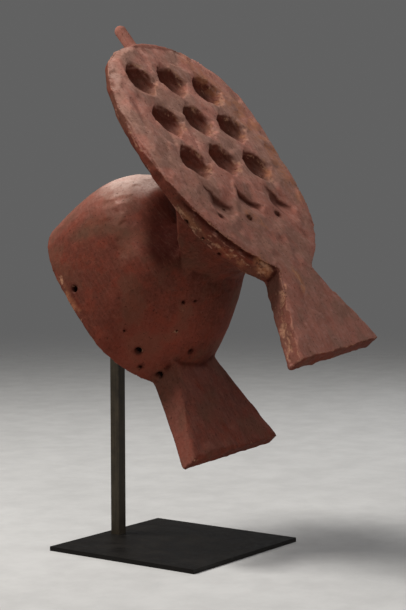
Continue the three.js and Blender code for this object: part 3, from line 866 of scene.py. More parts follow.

# %% [markdown]
# The pits are painted dark in their near part, as shade, less on the far wall, and the painted
# shade lifts on the slope at their low left corner, where light falls and tan wood shows through.
# The scoops are painted dark at the foot of their wall, as shade. The lamps give part of this
# shade, and the rest is painted, as measured here.

# %% Painted shade and tan in the pits
PIT_PAINTED_SHADE = 0.66
PIT_SHADE_FAR_LESS = 0.4
FAR_SIDE = (-12, 10)
LIT_LEAN = 0.6
LIT_SLOPE = (3, 18)
LIT_LESS = 0.9
PIT_INSIDE = (0.84, 1.02)
PIT_INSIDE_ABOVE = PIT_FLOOR - 8
PIT_LESS_CAVITY_SHADE = 0.8
TAN_CORNER = ((18, -6, 207), (8, -20, 207))
TAN_CORNER_WIDTH = 8
PIT_TAN = 0.25
PIT_TAN_LEFT_MORE = 0.45
SCOOP_PAINTED_SHADE = 0.6
SCOOP_SHADE_FROM = (0.25, 0.75)

# pit_shade is painted shade: dark in each pit, less on the far wall, lifted where light falls.
pit_shade = np.zeros(len(places))
pit_tan = np.zeros(len(places))
for row, pit_x, pit_y in pit_centres():
    if row >= DEEP_ROWS:
        continue
    lit = LIT_LESS * ramp(LIT_LEAN * (x - pit_x) - (y - pit_y), *LIT_SLOPE)
    shade = PIT_PAINTED_SHADE - PIT_SHADE_FAR_LESS * ramp(x - pit_x, *FAR_SIDE)
    inside = (1 - ramp(pit_reach(places, pit_x, pit_y), *PIT_INSIDE)) * (z > PIT_INSIDE_ABOVE)
    pit_shade = np.maximum(pit_shade, inside * shade * (1 - lit))
    cavity_dirt_and_shade = cavity_dirt_and_shade * (1 - PIT_LESS_CAVITY_SHADE * inside)
    corner = [(pit_x + right, pit_y + rear, up) for right, rear, up in TAN_CORNER]
    low_corner = near_line(places, *corner, TAN_CORNER_WIDTH)
    tan_share = PIT_TAN + PIT_TAN_LEFT_MORE * (pit_x > LEFT_COLUMN)
    pit_tan = np.maximum(pit_tan, tan_share * low_corner)
# The scoops get painted shade at the foot of their far wall.
pit_shade = np.maximum(pit_shade, SCOOP_PAINTED_SHADE * ramp(scoop_shares(places), *SCOOP_SHADE_FROM))
print("Dirty share of the pits:", round(float(pit_shade.mean()), 3))

# %% [markdown]
# A dull pinkish film of dust and old pigment lies on what looks up: most on the slab, on the
# crown, a little on the sides. It is missing in the hollows, the pits and the recess, which are
# painted dark as shade, and where the wood is handled. On the crown and at the slab's rear it
# turns nearly white, partly as a painted highlight. Height and slope alone would put it in the
# pits too, so the measures of the parts say where it may lie.

# %% Film and pale dust
LOOKS_UP = (0.3, 0.92)
SLAB_LOOKS_UP = (0.5, 0.9)
SLAB_FRONT_FILM = 0.6
SLAB_FILM_GROWS = (-60, 90)
CROWN_FILM = (60, 110)
SIDE_FILM_FACING = (0.6, 0.9)
SIDE_FILM_FROM = (100, 112)
FILM_SHARES = {"all": 0.45, "side": 0.2, "peg": 0.55}
FILM_CAVITY_LESS = 0.6
FILM_JAW_LESS = 0.25
FILM_RIM_LESS = 0.6
PEG_FROM = (206, 209)

# The valley's inside is painted dark: painted shade under the slab.
valley_painted_shade = valley_shares(places)[1]
looks_up = ramp(normals[:, 2], *LOOKS_UP)
grows = SLAB_FRONT_FILM + (1 - SLAB_FRONT_FILM) * ramp(y, *SLAB_FILM_GROWS)
slab_face = parts["slab"] * ramp(facing[:, 2], *SLAB_LOOKS_UP) * grows
side_face = ramp(-facing[:, 0], *SIDE_FILM_FACING) * ramp(-y, *SIDE_FILM_FROM)
crown_film = parts["helmet"] * looks_up * ramp(z, *CROWN_FILM)
peg = ramp(y, *PEG_FROM)
film = np.maximum.reduce([slab_face, FILM_SHARES["all"] * looks_up, crown_film,
                          FILM_SHARES["side"] * side_face, FILM_SHARES["peg"] * peg])
film *= (1 - pit_shade) * (1 - parts["recess"]) * (1 - FILM_CAVITY_LESS * cavity_dirt_and_shade)
film *= (1 - FILM_JAW_LESS * parts["jaw"]) * (1 - FILM_RIM_LESS * valley_rims(places))
print("Film:", round(float(film.mean()), 3))

# %% [markdown]
# Two more tones depend on the place. The crown, the slab's rear end and the lit side of the peg
# are painted nearly white where they look up: dust, and a painted highlight where the light
# falls. The low front of the helmet, where hands hold it, is redder. They are kept apart from the
# film, so that each can be made stronger or weaker on its own.

# %% Nearly white dust with painted highlight, and the red of the low flank
PALE_CROWN = (70, 105)
PALE_LOOKS_UP = (0.62, 0.95)
SLAB_END = (195, 210)
SLAB_RIGHT = (60, 100)
SLAB_REAR_HALF = (90, 130)
NEAR_PIT = (1.0, 1.15)
SLAB_PALE = 0.4
PEG_LEFT = (0.1, 0.8)
PEG_PALE = 0.7
RUDDY_FORWARD = (20, 70)
RUDDY_BELOW = (60, 110)
JAW_RUDDY = 0.15

near_pit = np.maximum.reduce([1 - ramp(pit_reach(places, pit_x, pit_y), *NEAR_PIT)
                              for row, pit_x, pit_y in pit_centres()])
slab_rear = np.maximum(ramp(y, *SLAB_END), ramp(-x, *SLAB_RIGHT)) * ramp(y, *SLAB_REAR_HALF)
slab_rear = slab_rear * (1 - near_pit) * SLAB_PALE
# Painted highlight with dust: lighter where crown, slab end and peg look up to the light.
pale = np.maximum(parts["helmet"] * ramp(z, *PALE_CROWN), parts["slab"] * slab_rear)
pale = pale * ramp(normals[:, 2], *PALE_LOOKS_UP) * (1 - parts["recess"])
pale = np.maximum(pale, PEG_PALE * peg * ramp(facing[:, 0], *PEG_LEFT))
ruddy = (parts["helmet"] + JAW_RUDDY * parts["jaw"]) * ramp(-y, *RUDDY_FORWARD)
ruddy = ruddy * (1 - ramp(z, *RUDDY_BELOW))
print("Pale:", round(float(pale.mean()), 3), "ruddy:", round(float(ruddy.mean()), 3))

# %% [markdown]
# Dark is mostly painted shade: the recess under the slab, the pits, the seam, and the hollows and
# creases, with some dirt there too. It is also darker round the holes, inside the mask's hollow
# and along the jaw's edges. Tan is younger wood that shows where the old surface is rubbed
# through. A greyish band crosses the flank. Each of these is a short list of lines with a width,
# as for the marks.

# %% Dark, tan, grey and bare wood
TAN_SPOTS = (
    ((-54, -95, 205), (-43, -104, 196), 10, 0.9),
    ((95, 130, 210), (112, 60, 210), 24, 0.8),
    ((112, 60, 210), (104, -10, 210), 24, 0.7),
    ((62, 190, 210), (95, 130, 210), 18, 0.6),
    ((-115, -20, 194), (-67, -86, 192), 7, 0.5),
    ((-99, 44, 3), (-98, 0, 2), 7, 0.7),
    ((-11, -114, 209), (-13, -138, 206), 8, 1.0),
    ((-24, -34, 210), (-10, -52, 210), 8, 0.6),
)
GREY_BAND = ((-82, 70, 45), (-83, 56, 72), (-81, 45, 88), (-70, 18, 109), (-66, 4, 114))
GREY_WIDTH = 11
PALE_SPOTS = BRUISES + (((-50, -96, 203), (-42, -105, 203), 4.0, 0),)
SEAM_SPREAD = 1.3
JAW_EDGES = (0.2, 0.8)
DARK_SHARES = {"valley": 0.95, "cavity_dirt_and_shade": 0.85, "hollow": 0.5, "near_holes": 0.9, "jaw": 0.35, "seam": 0.9}

# The seam under the slab's right edge is painted dark: painted shade.
seam_shade = np.maximum.reduce([near_line(places, start, end, SEAM_SPREAD * width)
                           for start, end, width, depth in GROOVES[1:]])
# Dark is mostly painted shade, with some dirt.
dark = np.maximum.reduce([
    pit_shade, DARK_SHARES["valley"] * valley_painted_shade, DARK_SHARES["cavity_dirt_and_shade"] * cavity_dirt_and_shade,
    DARK_SHARES["hollow"] * parts["hollow"], DARK_SHARES["near_holes"] * near_holes,
    DARK_SHARES["jaw"] * parts["jaw"] * ramp(stands_out, *JAW_EDGES), DARK_SHARES["seam"] * seam_shade])
tan = np.maximum.reduce([strength * near_line(places, start, end, width)
                         for start, end, width, strength in TAN_SPOTS] + [pit_tan])
grey = np.maximum.reduce([near_line(places, start, end, GREY_WIDTH)
                          for start, end in zip(GREY_BAND, GREY_BAND[1:])])
bare = np.maximum.reduce([near_line(places, start, end, width)
                          for start, end, width, depth in PALE_SPOTS])
print("Dark:", round(float(dark.mean()), 3), "tan:", round(float(tan.mean()), 3))

# %% [markdown]
# Materials read a measure from the mesh by its name. So each one is stored as an attribute of
# the points. Bare wood also shows in the chips, which are found again on the finished skin.

# %% Store the measures on the mesh
CHIP_SEEN = 1.3
CHIP_BARE = 0.85


def store(mesh, name, values):
    """Keep one number for each vertex of a mesh, for its material to read."""
    layer = mesh.attributes.new(name, "FLOAT", "POINT")
    layer.data.foreach_set("value", np.clip(values, 0, 1).astype(np.float32))


chips = chips_at(places, brittle_share(places, facing, CHIP_SEEN * stands_out, parts))
bare = np.maximum(bare, CHIP_BARE * chips)
for name, values in (("worn", worn), ("film", film), ("pale", pale), ("dark", dark),
                     ("tan", tan), ("grey", grey), ("bare", bare), ("ruddy", ruddy)):
    store(skin, name, values)
print("Measures:", [layer.name for layer in skin.attributes][-8:])

# %% [markdown]
# A mesh of many small cells is heavy where the wood is plain. Decimation merges cells where the
# surface hardly bends and keeps them at ridges, so the tool marks stay at a fraction of the
# triangles. It carries the stored measures along.

# %% Thin the mesh out
MOST_TRIANGLES = 190000

triangles = sum(len(polygon.vertices) - 2 for polygon in skin.polygons)
thinning = mask.modifiers.new("thin out", "DECIMATE")
thinning.ratio = min(1, MOST_TRIANGLES / triangles)
thinning.use_collapse_triangulate = True
skin = bake_modifiers(mask)
skin.shade_smooth()
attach(mask, "root")
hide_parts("mask")
print("Triangles:", triangles, "thinned to", len(skin.polygons))

# %% [markdown]
# The stand is a square steel bar on a thin square plate, both with a dark, satin finish. A mill
# leaves its edges slightly round, and they catch a thin line of light. So each piece is the CAD
# solid with a narrow bevel. It is sliced into small fields after that, because the rubbed edges
# are stored as a number at each point. New boxes would need the CAD's measures copied by hand.

# %% A helper that makes a piece of steel stock
BEVEL = 0.6 * MM
RUBBED = (0.4 * MM, 3.5 * MM)
SHARP_ANGLE = math.radians(30)
FAR_FROM_EDGES = 1.0
SAME_PLACE = 0.001 * MM


def sharp_edges(mesh):
    """The two ends of every edge at which a mesh bends sharply, as places."""
    work = bmesh.new()
    work.from_mesh(mesh)
    ends = [[vert.co.copy() for vert in edge.verts] for edge in work.edges
            if edge.calc_face_angle(0) > SHARP_ANGLE]
    work.free()
    return np.array(ends)


def sliced(mesh, slices):
    """Cut a mesh into fields along planes across the given axes, with no point twice."""
    work = bmesh.new()
    work.from_mesh(mesh)
    for axis, stops in slices:
        for stop in stops:
            everything = work.verts[:] + work.edges[:] + work.faces[:]
            bmesh.ops.bisect_plane(work, geom=everything, plane_co=axis * stop, plane_no=axis)
    bmesh.ops.remove_doubles(work, verts=work.verts[:], dist=SAME_PLACE)
    work.to_mesh(mesh)
    work.free()


def steel_piece(name, node, slices, foot=None):
    """The CAD solid of a node with rounded edges, sliced along given planes."""
    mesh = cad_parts[node].data.copy()
    if foot is not None:
        coords = points_of(mesh)
        coords[coords[:, 2] < coords[:, 2].min() + MM, 2] = foot
        move_points(mesh, coords)
    lines = sharp_edges(mesh)
    piece = new_piece(name, mesh)
    rounding = piece.modifiers.new("rounded edges", "BEVEL")
    rounding.width = BEVEL
    rounding.segments = 2
    rounding.limit_method = "ANGLE"
    mesh = bake_modifiers(piece)
    sliced(mesh, slices)
    coords = points_of(mesh)
    distance = np.full(len(coords), FAR_FROM_EDGES)
    for start, end in lines:
        along = np.clip((coords - start) @ (end - start) / ((end - start) @ (end - start)), 0, 1)
        from_line = np.linalg.norm(coords - start - along[:, None] * (end - start), axis=1)
        distance = np.minimum(distance, from_line)
    store(mesh, "worn", 1 - ramp(distance, *RUBBED))
    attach(piece, "root")
    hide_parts(node)
    print(name, "has", len(mesh.polygons), "faces")
    return piece


print("Steel edges are rounded by", BEVEL / MM, "mm")

# %% [markdown]
# The bar goes right down to the top of the plate that carries it. The plate is sliced more finely
# near its edges, where the wear changes quickly, and the bar every two centimetres. Subdividing
# both evenly would make many more faces for the same look.

# %% Post and base plate
PLATE_HALF = 0.1
PLATE_TOP = 5 * MM
PLATE_INSETS = (0.002, 0.005, 0.012, 0.03, 0.06, 0.1)
PLATE_STOPS = sorted({side * (PLATE_HALF - inset) for side in (-1, 1) for inset in PLATE_INSETS})
BAR_FIELD = 0.02
BAR_FIELDS = 21
BAR_STOPS = [BAR_FIELD * (step + 1) for step in range(BAR_FIELDS)]
ACROSS, ALONG, UP = (Vector(axis) for axis in np.eye(3))

plate = steel_piece("steel_plate", "stand_base_plate", ((ACROSS, PLATE_STOPS), (ALONG, PLATE_STOPS)))
post = steel_piece("steel_post", "stand_post", ((UP, BAR_STOPS),), PLATE_TOP)

# %% [markdown]
# A plain pale floor carries the plate. It is wide enough to run past the picture at any height
# of the camera, and fades out into the light of the surroundings, so that no horizon line cuts
# through the picture. A curved backdrop does that too, but only from one side.

# %% Floor
FLOOR_RADIUS = 9
FLOOR_SIDES = 96

rim = [(math.cos(turn) * FLOOR_RADIUS, math.sin(turn) * FLOOR_RADIUS, 0)
       for turn in (2 * math.pi * side / FLOOR_SIDES for side in range(FLOOR_SIDES))]
floor_mesh = bpy.data.meshes.new("floor")
floor_mesh.from_pydata(rim, [], [list(range(FLOOR_SIDES))])
floor = new_piece("floor", floor_mesh)
print("Floor:", 2 * FLOOR_RADIUS, "m across")

# %% [markdown]
# Materials are networks of nodes. A few helpers keep them readable: one adds a node and joins or
# sets its inputs by name, one makes a colour as it is seen on a screen, and one mixes colours.
# The same could be clicked together in the shader editor, but could not be read line by line.

# %% Helpers that add nodes
def seen(red, green, blue):
    """A colour written as on a screen, 0 to 255, in the linear light that shaders use."""
    shares = [value / 255 for value in (red, green, blue)]
    return [s / 12.92 if s <= 0.04045 else ((s + 0.055) / 1.055) ** 2.4 for s in shares] + [1]


def join(tree, node, inputs):
    """Join a node's inputs to other nodes, or set them to plain values."""
    for key, value in inputs.items():
        if isinstance(value, bpy.types.NodeSocket):
            tree.links.new(value, node.inputs[key])
        else:
            node.inputs[key].default_value = value


def add(tree, kind, inputs=None, **settings):
    """A new node with its settings made and its inputs joined or set."""
    node = tree.nodes.new("ShaderNode" + kind)
    for name, value in settings.items():
        setattr(node, name, value)
    join(tree, node, inputs or {})
    return node


def maths(tree, operation, first, second):
    """The result of one calculation."""
    return add(tree, "Math", {0: first, 1: second}, operation=operation).outputs[0]


def times_plus(tree, value, factor, addition):
    """A value times a factor, plus an addition."""
    return add(tree, "Math", {0: value, 1: factor, 2: addition}, operation="MULTIPLY_ADD").outputs[0]


def fade(tree, value, low, high, to_low=0.0, to_high=1.0):
    """A smooth rise of a value from low to high."""
    limits = {"Value": value, "From Min": low, "From Max": high, "To Min": to_low, "To Max": to_high}
    return add(tree, "MapRange", limits, interpolation_type="SMOOTHSTEP").outputs[0]


def mixed(tree, factor, under, over):
    """Two colours mixed by a factor."""
    return add(tree, "Mix", {0: factor, 6: under, 7: over}, data_type="RGBA").outputs[2]


print("Dusty pink in linear light:", [round(value, 3) for value in seen(150, 110, 100)])

# %% [markdown]
# Some effects come back on wood, steel and floor. A node group holds such an effect once, with
# named inputs and outputs, and is placed in each material with its own values. Copies of the
# nodes would do the same, but would have to be changed one by one.

# %% Helpers for groups and materials
def group(name, inputs, outputs):
    """An empty node group with named sockets, and its two end nodes."""
    tree = bpy.data.node_groups.new(name, "ShaderNodeTree")
    for socket, kind in inputs:
        tree.interface.new_socket(socket, in_out="INPUT", socket_type="NodeSocket" + kind)
    for socket in outputs:
        tree.interface.new_socket(socket, in_out="OUTPUT", socket_type="NodeSocketFloat")
    return tree, tree.nodes.new("NodeGroupInput").outputs, tree.nodes.new("NodeGroupOutput").inputs


def use(tree, used_group, inputs):
    """A group put to use in a material; returns its outputs."""
    node = tree.nodes.new("ShaderNodeGroup")
    node.node_tree = used_group
    join(tree, node, inputs)
    return node.outputs


def material_on(piece, name):
    """A new material on a piece: its tree and its shader."""
    material = bpy.data.materials.new(name)
    material.use_nodes = True
    piece.data.materials.clear()
    piece.data.materials.append(material)
    return material.node_tree, material.node_tree.nodes["Principled BSDF"]


def stored(tree, name):
    """A measure that is stored on the mesh."""
    return add(tree, "Attribute", attribute_name=name).outputs["Fac"]


print("Materials so far:", len(bpy.data.materials))

# %% [markdown]
# Two effects are needed everywhere: blotches and grain. Blotches are soft noise of any size. Grain
# is noise drawn out along one direction: years of growth in the wood, rolling marks in the steel.
# A picture of grain would repeat, and noise never does.

# %% Blotches and grain
ROUGH_FINER = 3.7
GRAIN_STREAK = (1 / 0.0028, 1 / 0.045, 1 / 0.0028)
GRAIN_FIBRE = (1 / 0.0008, 1 / 0.011, 1 / 0.0008)

blotches, given, result = group("blotches", (("Vector", "Vector"), ("Scale", "Float")), ("Soft", "Rough"))
soft = add(blotches, "TexNoise", {"Vector": given["Vector"], "Scale": given["Scale"], "Detail": 3,
                                  "Roughness": 0.55})
finer = maths(blotches, "MULTIPLY", given["Scale"], ROUGH_FINER)
rough = add(blotches, "TexNoise", {"Vector": given["Vector"], "Scale": finer, "Detail": 7,
                                   "Roughness": 0.68})
blotches.links.new(soft.outputs[0], result["Soft"])
blotches.links.new(rough.outputs[0], result["Rough"])

grain, given, result = group("grain", (("Vector", "Vector"),), ("Streaks", "Fibres"))
for socket, scale in (("Streaks", GRAIN_STREAK), ("Fibres", GRAIN_FIBRE)):
    drawn = add(grain, "Mapping", {"Vector": given["Vector"], "Scale": scale}).outputs[0]
    lines = add(grain, "TexNoise", {"Vector": drawn, "Scale": 1, "Detail": 4, "Roughness": 0.6})
    grain.links.new(lines.outputs[0], result[socket])
print("Groups:", [tree.name for tree in bpy.data.node_groups])

# %% [markdown]
# Edges are rubbed bare by hands and cloth, but never evenly, so the stored measure is broken up
# by noise before it is turned into a mask. Dust lies where a surface looks up and where nothing
# wipes it away. Hairline scratches are the level lines of a drawn-out noise.

# %% Edge wear, dust and scratches
WEAR_UNEVEN = 1.4
WEAR_LEVEL = (0.42, 0.8)
DUST_SLOPE = (0.35, 0.95)
DUST_CLOUD = (0.35, 0.7)
SCRATCH_LONG = (1 / 0.004, 1 / 0.07, 1 / 0.02)
SCRATCH_WIDTH = 0.012

wear, given, result = group("edge wear", (("Vector", "Vector"), ("Worn", "Float")), ("Mask",))
speckle = add(wear, "TexNoise", {"Vector": given["Vector"], "Scale": 170, "Detail": 6, "Roughness": 0.7})
uneven = times_plus(wear, speckle.outputs[0], WEAR_UNEVEN, -WEAR_UNEVEN / 2)
together = maths(wear, "ADD", given["Worn"], uneven)
wear.links.new(fade(wear, together, *WEAR_LEVEL), result["Mask"])

dust, given, result = group("dust", (("Vector", "Vector"),), ("Mask",))
upward = add(dust, "SeparateXYZ", {0: add(dust, "NewGeometry").outputs["Normal"]}).outputs["Z"]
cloud = add(dust, "TexNoise", {"Vector": given["Vector"], "Scale": 38, "Detail": 8, "Roughness": 0.7})
lying = maths(dust, "MULTIPLY", fade(dust, upward, *DUST_SLOPE), fade(dust, cloud.outputs[0], *DUST_CLOUD))
dust.links.new(lying, result["Mask"])

scratches, given, result = group("scratches", (("Vector", "Vector"), ("Turn", "Vector")), ("Mask",))
turned = add(scratches, "Mapping", {"Vector": given["Vector"], "Rotation": given["Turn"],
                                    "Scale": SCRATCH_LONG}).outputs[0]
hills = add(scratches, "TexNoise", {"Vector": turned, "Scale": 1, "Detail": 5, "Roughness": 0.5})
level = maths(scratches, "ABSOLUTE", maths(scratches, "SUBTRACT", hills.outputs[0], 0.5), 0.5)
hairline = maths(scratches, "SUBTRACT", 1.0, fade(scratches, level, 0.0, SCRATCH_WIDTH))
scratches.links.new(hairline, result["Mask"])
print("Groups:", [tree.name for tree in bpy.data.node_groups])

# %% [markdown]
# The wood is old and dark, rubbed with red earth pigment and covered by a dull pinkish film that
# stays on the faces that look up. It is built much like the real surface, layer over layer: brown
# wood with its grain, red pigment, film, pale dust with a painted highlight on the crown, grey
# bloom, dirt and painted shade in the hollows, the recess and the pits, and last the rubbed edges
# and the bare chips. Every layer is let through by a mask made of a stored measure and noise.
# Painting would be quicker for one view, but this holds from all sides. First come the noises
# that several layers share, each of another size, in the wood's own direction.

# %% Wood: the noises its layers share
LARGE, MIDDLE, DABS, SMALL = 16, 26, 48, 75

tree, shader = material_on(mask, "old carved wood")
object_place = add(tree, "TexCoord").outputs["Object"]
along_grain = add(tree, "Mapping", {"Vector": object_place, "Rotation": (-NOSE_DOWN, 0, 0)}).outputs[0]
shifted = add(tree, "Mapping", {"Vector": along_grain, "Location": (3, 1, 2)}).outputs[0]
moved = add(tree, "Mapping", {"Vector": along_grain, "Location": (7, 4, 1)}).outputs[0]
grain_marks = use(tree, grain, {"Vector": along_grain})
large = use(tree, blotches, {"Vector": along_grain, "Scale": LARGE})
small = use(tree, blotches, {"Vector": along_grain, "Scale": SMALL})
other = use(tree, blotches, {"Vector": shifted, "Scale": MIDDLE})
patches = use(tree, blotches, {"Vector": moved, "Scale": DABS})
print("Shared noises:", len(tree.nodes), "nodes")

# %% [markdown]
# The ground is brown wood with darker and lighter years of growth. Red pigment was rubbed in and
# stayed in places, and old handling has mottled it darker and lighter. Mixing in small shares
# keeps all of them close to each other, as they are on the flank.

# %% Wood: brown ground and red pigment
WOOD_DARK, WOOD_LIGHT = seen(87, 46, 36), seen(96, 52, 42)
RED_PIGMENT, RED_AMOUNT = seen(108, 50, 37), 0.6
MOTTLE_DARK, MOTTLE_AMOUNT = seen(62, 27, 19), 0.4
MOTTLE_LIGHT, LIGHT_AMOUNT = seen(118, 66, 52), 0.3

colour = mixed(tree, fade(tree, grain_marks["Streaks"], 0.35, 0.65), WOOD_DARK, WOOD_LIGHT)
red_share = maths(tree, "MULTIPLY", fade(tree, large["Rough"], 0.46, 0.64), RED_AMOUNT)
colour = mixed(tree, red_share, colour, RED_PIGMENT)
colour = mixed(tree, fade(tree, small["Rough"], 0.5, 0.66, 0, MOTTLE_AMOUNT), colour, MOTTLE_DARK)
colour = mixed(tree, fade(tree, patches["Rough"], 0.5, 0.64, 0, LIGHT_AMOUNT), colour, MOTTLE_LIGHT)
print("Ground and pigment:", len(tree.nodes), "nodes")

# %% [markdown]
# The film has two close tones and paler dabs, and the grain shows through where it is thin. A
# little red lies over it here and there. The low flank is redder than the rest, and the crown
# is painted nearly white: dust, with a painted highlight.

# %% Wood: film, red, and pale dust with painted highlight
FILM_PINK, FILM_GREY, FILM_DABS = seen(184, 127, 112), seen(167, 126, 111), seen(194, 150, 138)
FILM_THIN_SPOT, FILM_THIN_GRAIN = 0.78, 0.82
DAB_AMOUNT = 0.5
RED_OVER, RED_OVER_AMOUNT = seen(132, 62, 48), 0.16
RUDDY = seen(122, 56, 43)
RUDDY_AMOUNTS = (0.2, 0.6)
PALE_DUST_AND_HIGHLIGHT = seen(204, 180, 170)
PALE_AMOUNTS = (0.46, 0.92)

film_noise = maths(tree, "MULTIPLY", fade(tree, small["Rough"], 0.25, 0.6, FILM_THIN_SPOT, 1),
                   fade(tree, grain_marks["Streaks"], 0.3, 0.6, FILM_THIN_GRAIN, 1))
film_share = maths(tree, "MULTIPLY", stored(tree, "film"), film_noise)
film_tone = mixed(tree, fade(tree, other["Soft"], 0.4, 0.6), FILM_PINK, FILM_GREY)
film_tone = mixed(tree, fade(tree, patches["Rough"], 0.48, 0.64, 0, DAB_AMOUNT), film_tone, FILM_DABS)
colour = mixed(tree, film_share, colour, film_tone)
colour = mixed(tree, fade(tree, patches["Soft"], 0.48, 0.62, 0, RED_OVER_AMOUNT), colour, RED_OVER)
ruddy_share = maths(tree, "MULTIPLY", stored(tree, "ruddy"),
                    fade(tree, other["Soft"], 0.35, 0.6, *RUDDY_AMOUNTS))
colour = mixed(tree, ruddy_share, colour, RUDDY)
# Painted highlight with pale dust on the crown, the slab's rear end and the peg.
pale_share = maths(tree, "MULTIPLY", stored(tree, "pale"),
                   fade(tree, small["Rough"], 0.3, 0.6, *PALE_AMOUNTS))
colour = mixed(tree, pale_share, colour, PALE_DUST_AND_HIGHLIGHT)
print("Film and dust:", len(tree.nodes), "nodes")

# %% [markdown]
# A greyish brown bloom lies on the bare ground and hardly on the film. A grey band crosses the
# flank. The dark measure goes over both, nearly black and warm: mostly painted shade, with some
# dirt.

# %% Wood: bloom, grey band, and painted shade with dirt
BLOOM = seen(92, 66, 52)
BLOOM_BARE, BLOOM_ON_FILM = 0.36, 0.1
GREY, GREY_AMOUNT = seen(80, 66, 52), 0.3
SHADE_AND_DIRT = seen(44, 11, 6)
SHADE_AND_DIRT_THIN = 0.85

under_film = fade(tree, stored(tree, "film"), 0, 0.6, BLOOM_BARE, BLOOM_ON_FILM)
bloom = maths(tree, "MULTIPLY", fade(tree, other["Soft"], 0.48, 0.64), under_film)
colour = mixed(tree, bloom, colour, BLOOM)
colour = mixed(tree, maths(tree, "MULTIPLY", stored(tree, "grey"), GREY_AMOUNT), colour, GREY)
# Painted shade with some dirt, nearly black and warm.
shade_and_dirt_share = maths(tree, "MULTIPLY", stored(tree, "dark"),
                   fade(tree, small["Soft"], 0.2, 0.7, 1, SHADE_AND_DIRT_THIN))
colour = mixed(tree, shade_and_dirt_share, colour, SHADE_AND_DIRT)
print("Bloom and dirt:", len(tree.nodes), "nodes")

# %% [markdown]
# Last come the traces of use: tan wood where the surface is rubbed through, pinkish edges, bare
# wood in the chips and bruises, two sets of hairline scratches, and dark specks in the pores.

# %% Wood: tan, wear and scratches
TAN, TAN_AMOUNT = seen(170, 112, 80), 0.7
RUBBED_EDGE, RUBBED_AMOUNT = seen(172, 122, 102), 0.5
BARE_WOOD = seen(180, 134, 106)
BARE_AMOUNTS = (0.1, 0.75)
HAIRLINE, HAIRLINE_AMOUNT = seen(170, 122, 104), 0.05
PORE, PORE_SCALE, PORE_AMOUNT = seen(44, 20, 15), 420, 0.55

tan_noise = maths(tree, "MULTIPLY", fade(tree, other["Rough"], 0.42, 0.56), TAN_AMOUNT)
colour = mixed(tree, maths(tree, "MULTIPLY", stored(tree, "tan"), tan_noise), colour, TAN)
rubbed = use(tree, wear, {"Vector": along_grain, "Worn": stored(tree, "worn")})["Mask"]
colour = mixed(tree, maths(tree, "MULTIPLY", rubbed, RUBBED_AMOUNT), colour, RUBBED_EDGE)
bare_share = maths(tree, "MULTIPLY", stored(tree, "bare"),
                   fade(tree, small["Rough"], 0.35, 0.6, *BARE_AMOUNTS))
colour = mixed(tree, bare_share, colour, BARE_WOOD)
hair_one = use(tree, scratches, {"Vector": along_grain, "Turn": (0.3, 0.2, 0.5)})["Mask"]
hair_two = use(tree, scratches, {"Vector": shifted, "Turn": (1.2, 0.4, -0.6)})["Mask"]
hair = maths(tree, "MULTIPLY", maths(tree, "MAXIMUM", hair_one, hair_two), HAIRLINE_AMOUNT)
colour = mixed(tree, hair, colour, HAIRLINE)
speck = add(tree, "TexNoise", {"Vector": along_grain, "Scale": PORE_SCALE, "Detail": 2}).outputs[0]
colour = mixed(tree, fade(tree, speck, 0.62, 0.74, 0, PORE_AMOUNT), colour, PORE)
tree.links.new(colour, shader.inputs["Base Color"])
print("Wear:", len(tree.nodes), "nodes")

# %% [markdown]
# The bare wood has a faint sheen from oil and hands, and the dusty film none. Pores, fibres and
# scratches are too fine for the mesh, so they are a bump. True relief would need millions of
# points for what is seen only as a change of shine.

# %% Wood: sheen and relief
SHEEN_WOOD, SHEEN_FILM = 0.56, 0.72
SHEEN_UNEVEN = 0.3
PORE_RELIEF, FIBRE_RELIEF, SCRATCH_RELIEF = 0.9, 0.15, 0.8
RELIEF_DEPTH = 0.0009
WOOD_SPECULAR = 0.02

dull = fade(tree, stored(tree, "film"), 0, 0.8, SHEEN_WOOD, SHEEN_FILM)
cloudy_dull = times_plus(tree, small["Rough"], SHEEN_UNEVEN, dull)
tree.links.new(cloudy_dull, shader.inputs["Roughness"])
shader.inputs["Specular IOR Level"].default_value = WOOD_SPECULAR
fibres = maths(tree, "MULTIPLY", grain_marks["Fibres"], FIBRE_RELIEF)
relief = times_plus(tree, small["Rough"], PORE_RELIEF, fibres)
scored = maths(tree, "SUBTRACT", relief, maths(tree, "MULTIPLY", hair, SCRATCH_RELIEF))
bump = add(tree, "Bump", {"Strength": 0.5, "Distance": RELIEF_DEPTH, "Height": scored})
tree.links.new(bump.outputs[0], shader.inputs["Normal"])
print("Wood:", len(tree.nodes), "nodes")

# %% [markdown]
# The steel is blackened and waxed. It has a brownish depth, lighter rubbed edges, faint rolling
# marks and a little dust on the plate. Post and plate share the recipe, but each has its own
# material, because they are separate parts with their own tone.

# %% Steel
STREAK_PART, CLOUD_PART = 0.4, 0.6
BRIGHT_EDGE, EDGE_AMOUNT = seen(98, 90, 76), 0.55
STEEL_DUST = seen(120, 114, 104)
WAX_ROUGHNESS = (0.4, 0.58)
ROLLING_DEPTH = 0.0002
STEEL_METALLIC = 0.25
STEEL_SPECULAR = 0.2


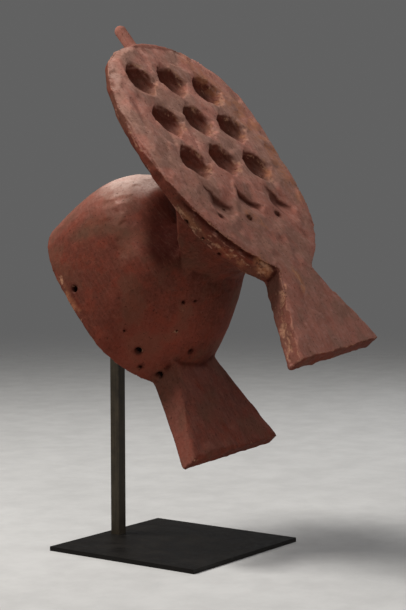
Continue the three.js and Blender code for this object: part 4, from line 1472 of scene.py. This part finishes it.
def steel(piece, name, dark_tone, light_tone, roll, dustiness):
    """Blackened, waxed steel with rolling marks along one direction."""
    tree, shader = material_on(piece, name)
    place = add(tree, "TexCoord").outputs["Object"]
    rolled = add(tree, "Mapping", {"Vector": place, "Rotation": roll}).outputs[0]
    marks = use(tree, grain, {"Vector": rolled})
    cloudy = use(tree, blotches, {"Vector": place, "Scale": 22})
    tone = maths(tree, "ADD", maths(tree, "MULTIPLY", marks["Streaks"], STREAK_PART),
                 maths(tree, "MULTIPLY", cloudy["Rough"], CLOUD_PART))
    colour = mixed(tree, fade(tree, tone, 0.35, 0.65), dark_tone, light_tone)
    rubbed = use(tree, wear, {"Vector": place, "Worn": stored(tree, "worn")})["Mask"]
    colour = mixed(tree, maths(tree, "MULTIPLY", rubbed, EDGE_AMOUNT), colour, BRIGHT_EDGE)
    lying = use(tree, dust, {"Vector": place})["Mask"]
    colour = mixed(tree, maths(tree, "MULTIPLY", lying, dustiness), colour, STEEL_DUST)
    tree.links.new(colour, shader.inputs["Base Color"])
    shader.inputs["Metallic"].default_value = STEEL_METALLIC
    shader.inputs["Specular IOR Level"].default_value = STEEL_SPECULAR
    tree.links.new(fade(tree, cloudy["Rough"], 0.3, 0.7, *WAX_ROUGHNESS), shader.inputs["Roughness"])
    bump = add(tree, "Bump", {"Strength": 0.2, "Distance": ROLLING_DEPTH, "Height": marks["Fibres"]})
    tree.links.new(bump.outputs[0], shader.inputs["Normal"])
    print(name, "has", len(tree.nodes), "nodes")


steel(post, "blackened steel bar", seen(48, 42, 34), seen(68, 60, 48), (math.pi / 2, 0, 0), 0.08)
steel(plate, "blackened steel plate", seen(13, 10, 8), seen(21, 17, 14), (0, 0, 0.3), 0.05)

# %% [markdown]
# The floor is painted board: nearly white, a little uneven, dull. Far from the plate it turns
# transparent, and the even light of the surroundings takes over. A plain colour would be enough
# for a shadow, but would look unreal under a close camera.

# %% Floor finish
FLOOR_DARK, FLOOR_LIGHT = seen(198, 197, 195), seen(209, 208, 206)
FLOOR_ROUGHNESS = (0.6, 0.75)
FLOOR_FADES = (0.7, 3.2)

tree, shader = material_on(floor, "pale floor")
place = add(tree, "TexCoord").outputs["Object"]
cloudy = use(tree, blotches, {"Vector": place, "Scale": 5})
colour = mixed(tree, fade(tree, cloudy["Rough"], 0.3, 0.7), FLOOR_DARK, FLOOR_LIGHT)
tree.links.new(colour, shader.inputs["Base Color"])
tree.links.new(fade(tree, cloudy["Soft"], 0.3, 0.7, *FLOOR_ROUGHNESS), shader.inputs["Roughness"])
far_out = add(tree, "VectorMath", {0: place}, operation="LENGTH").outputs["Value"]
tree.links.new(fade(tree, far_out, *FLOOR_FADES, 1, 0), shader.inputs["Alpha"])
print("Floor:", len(tree.nodes), "nodes")
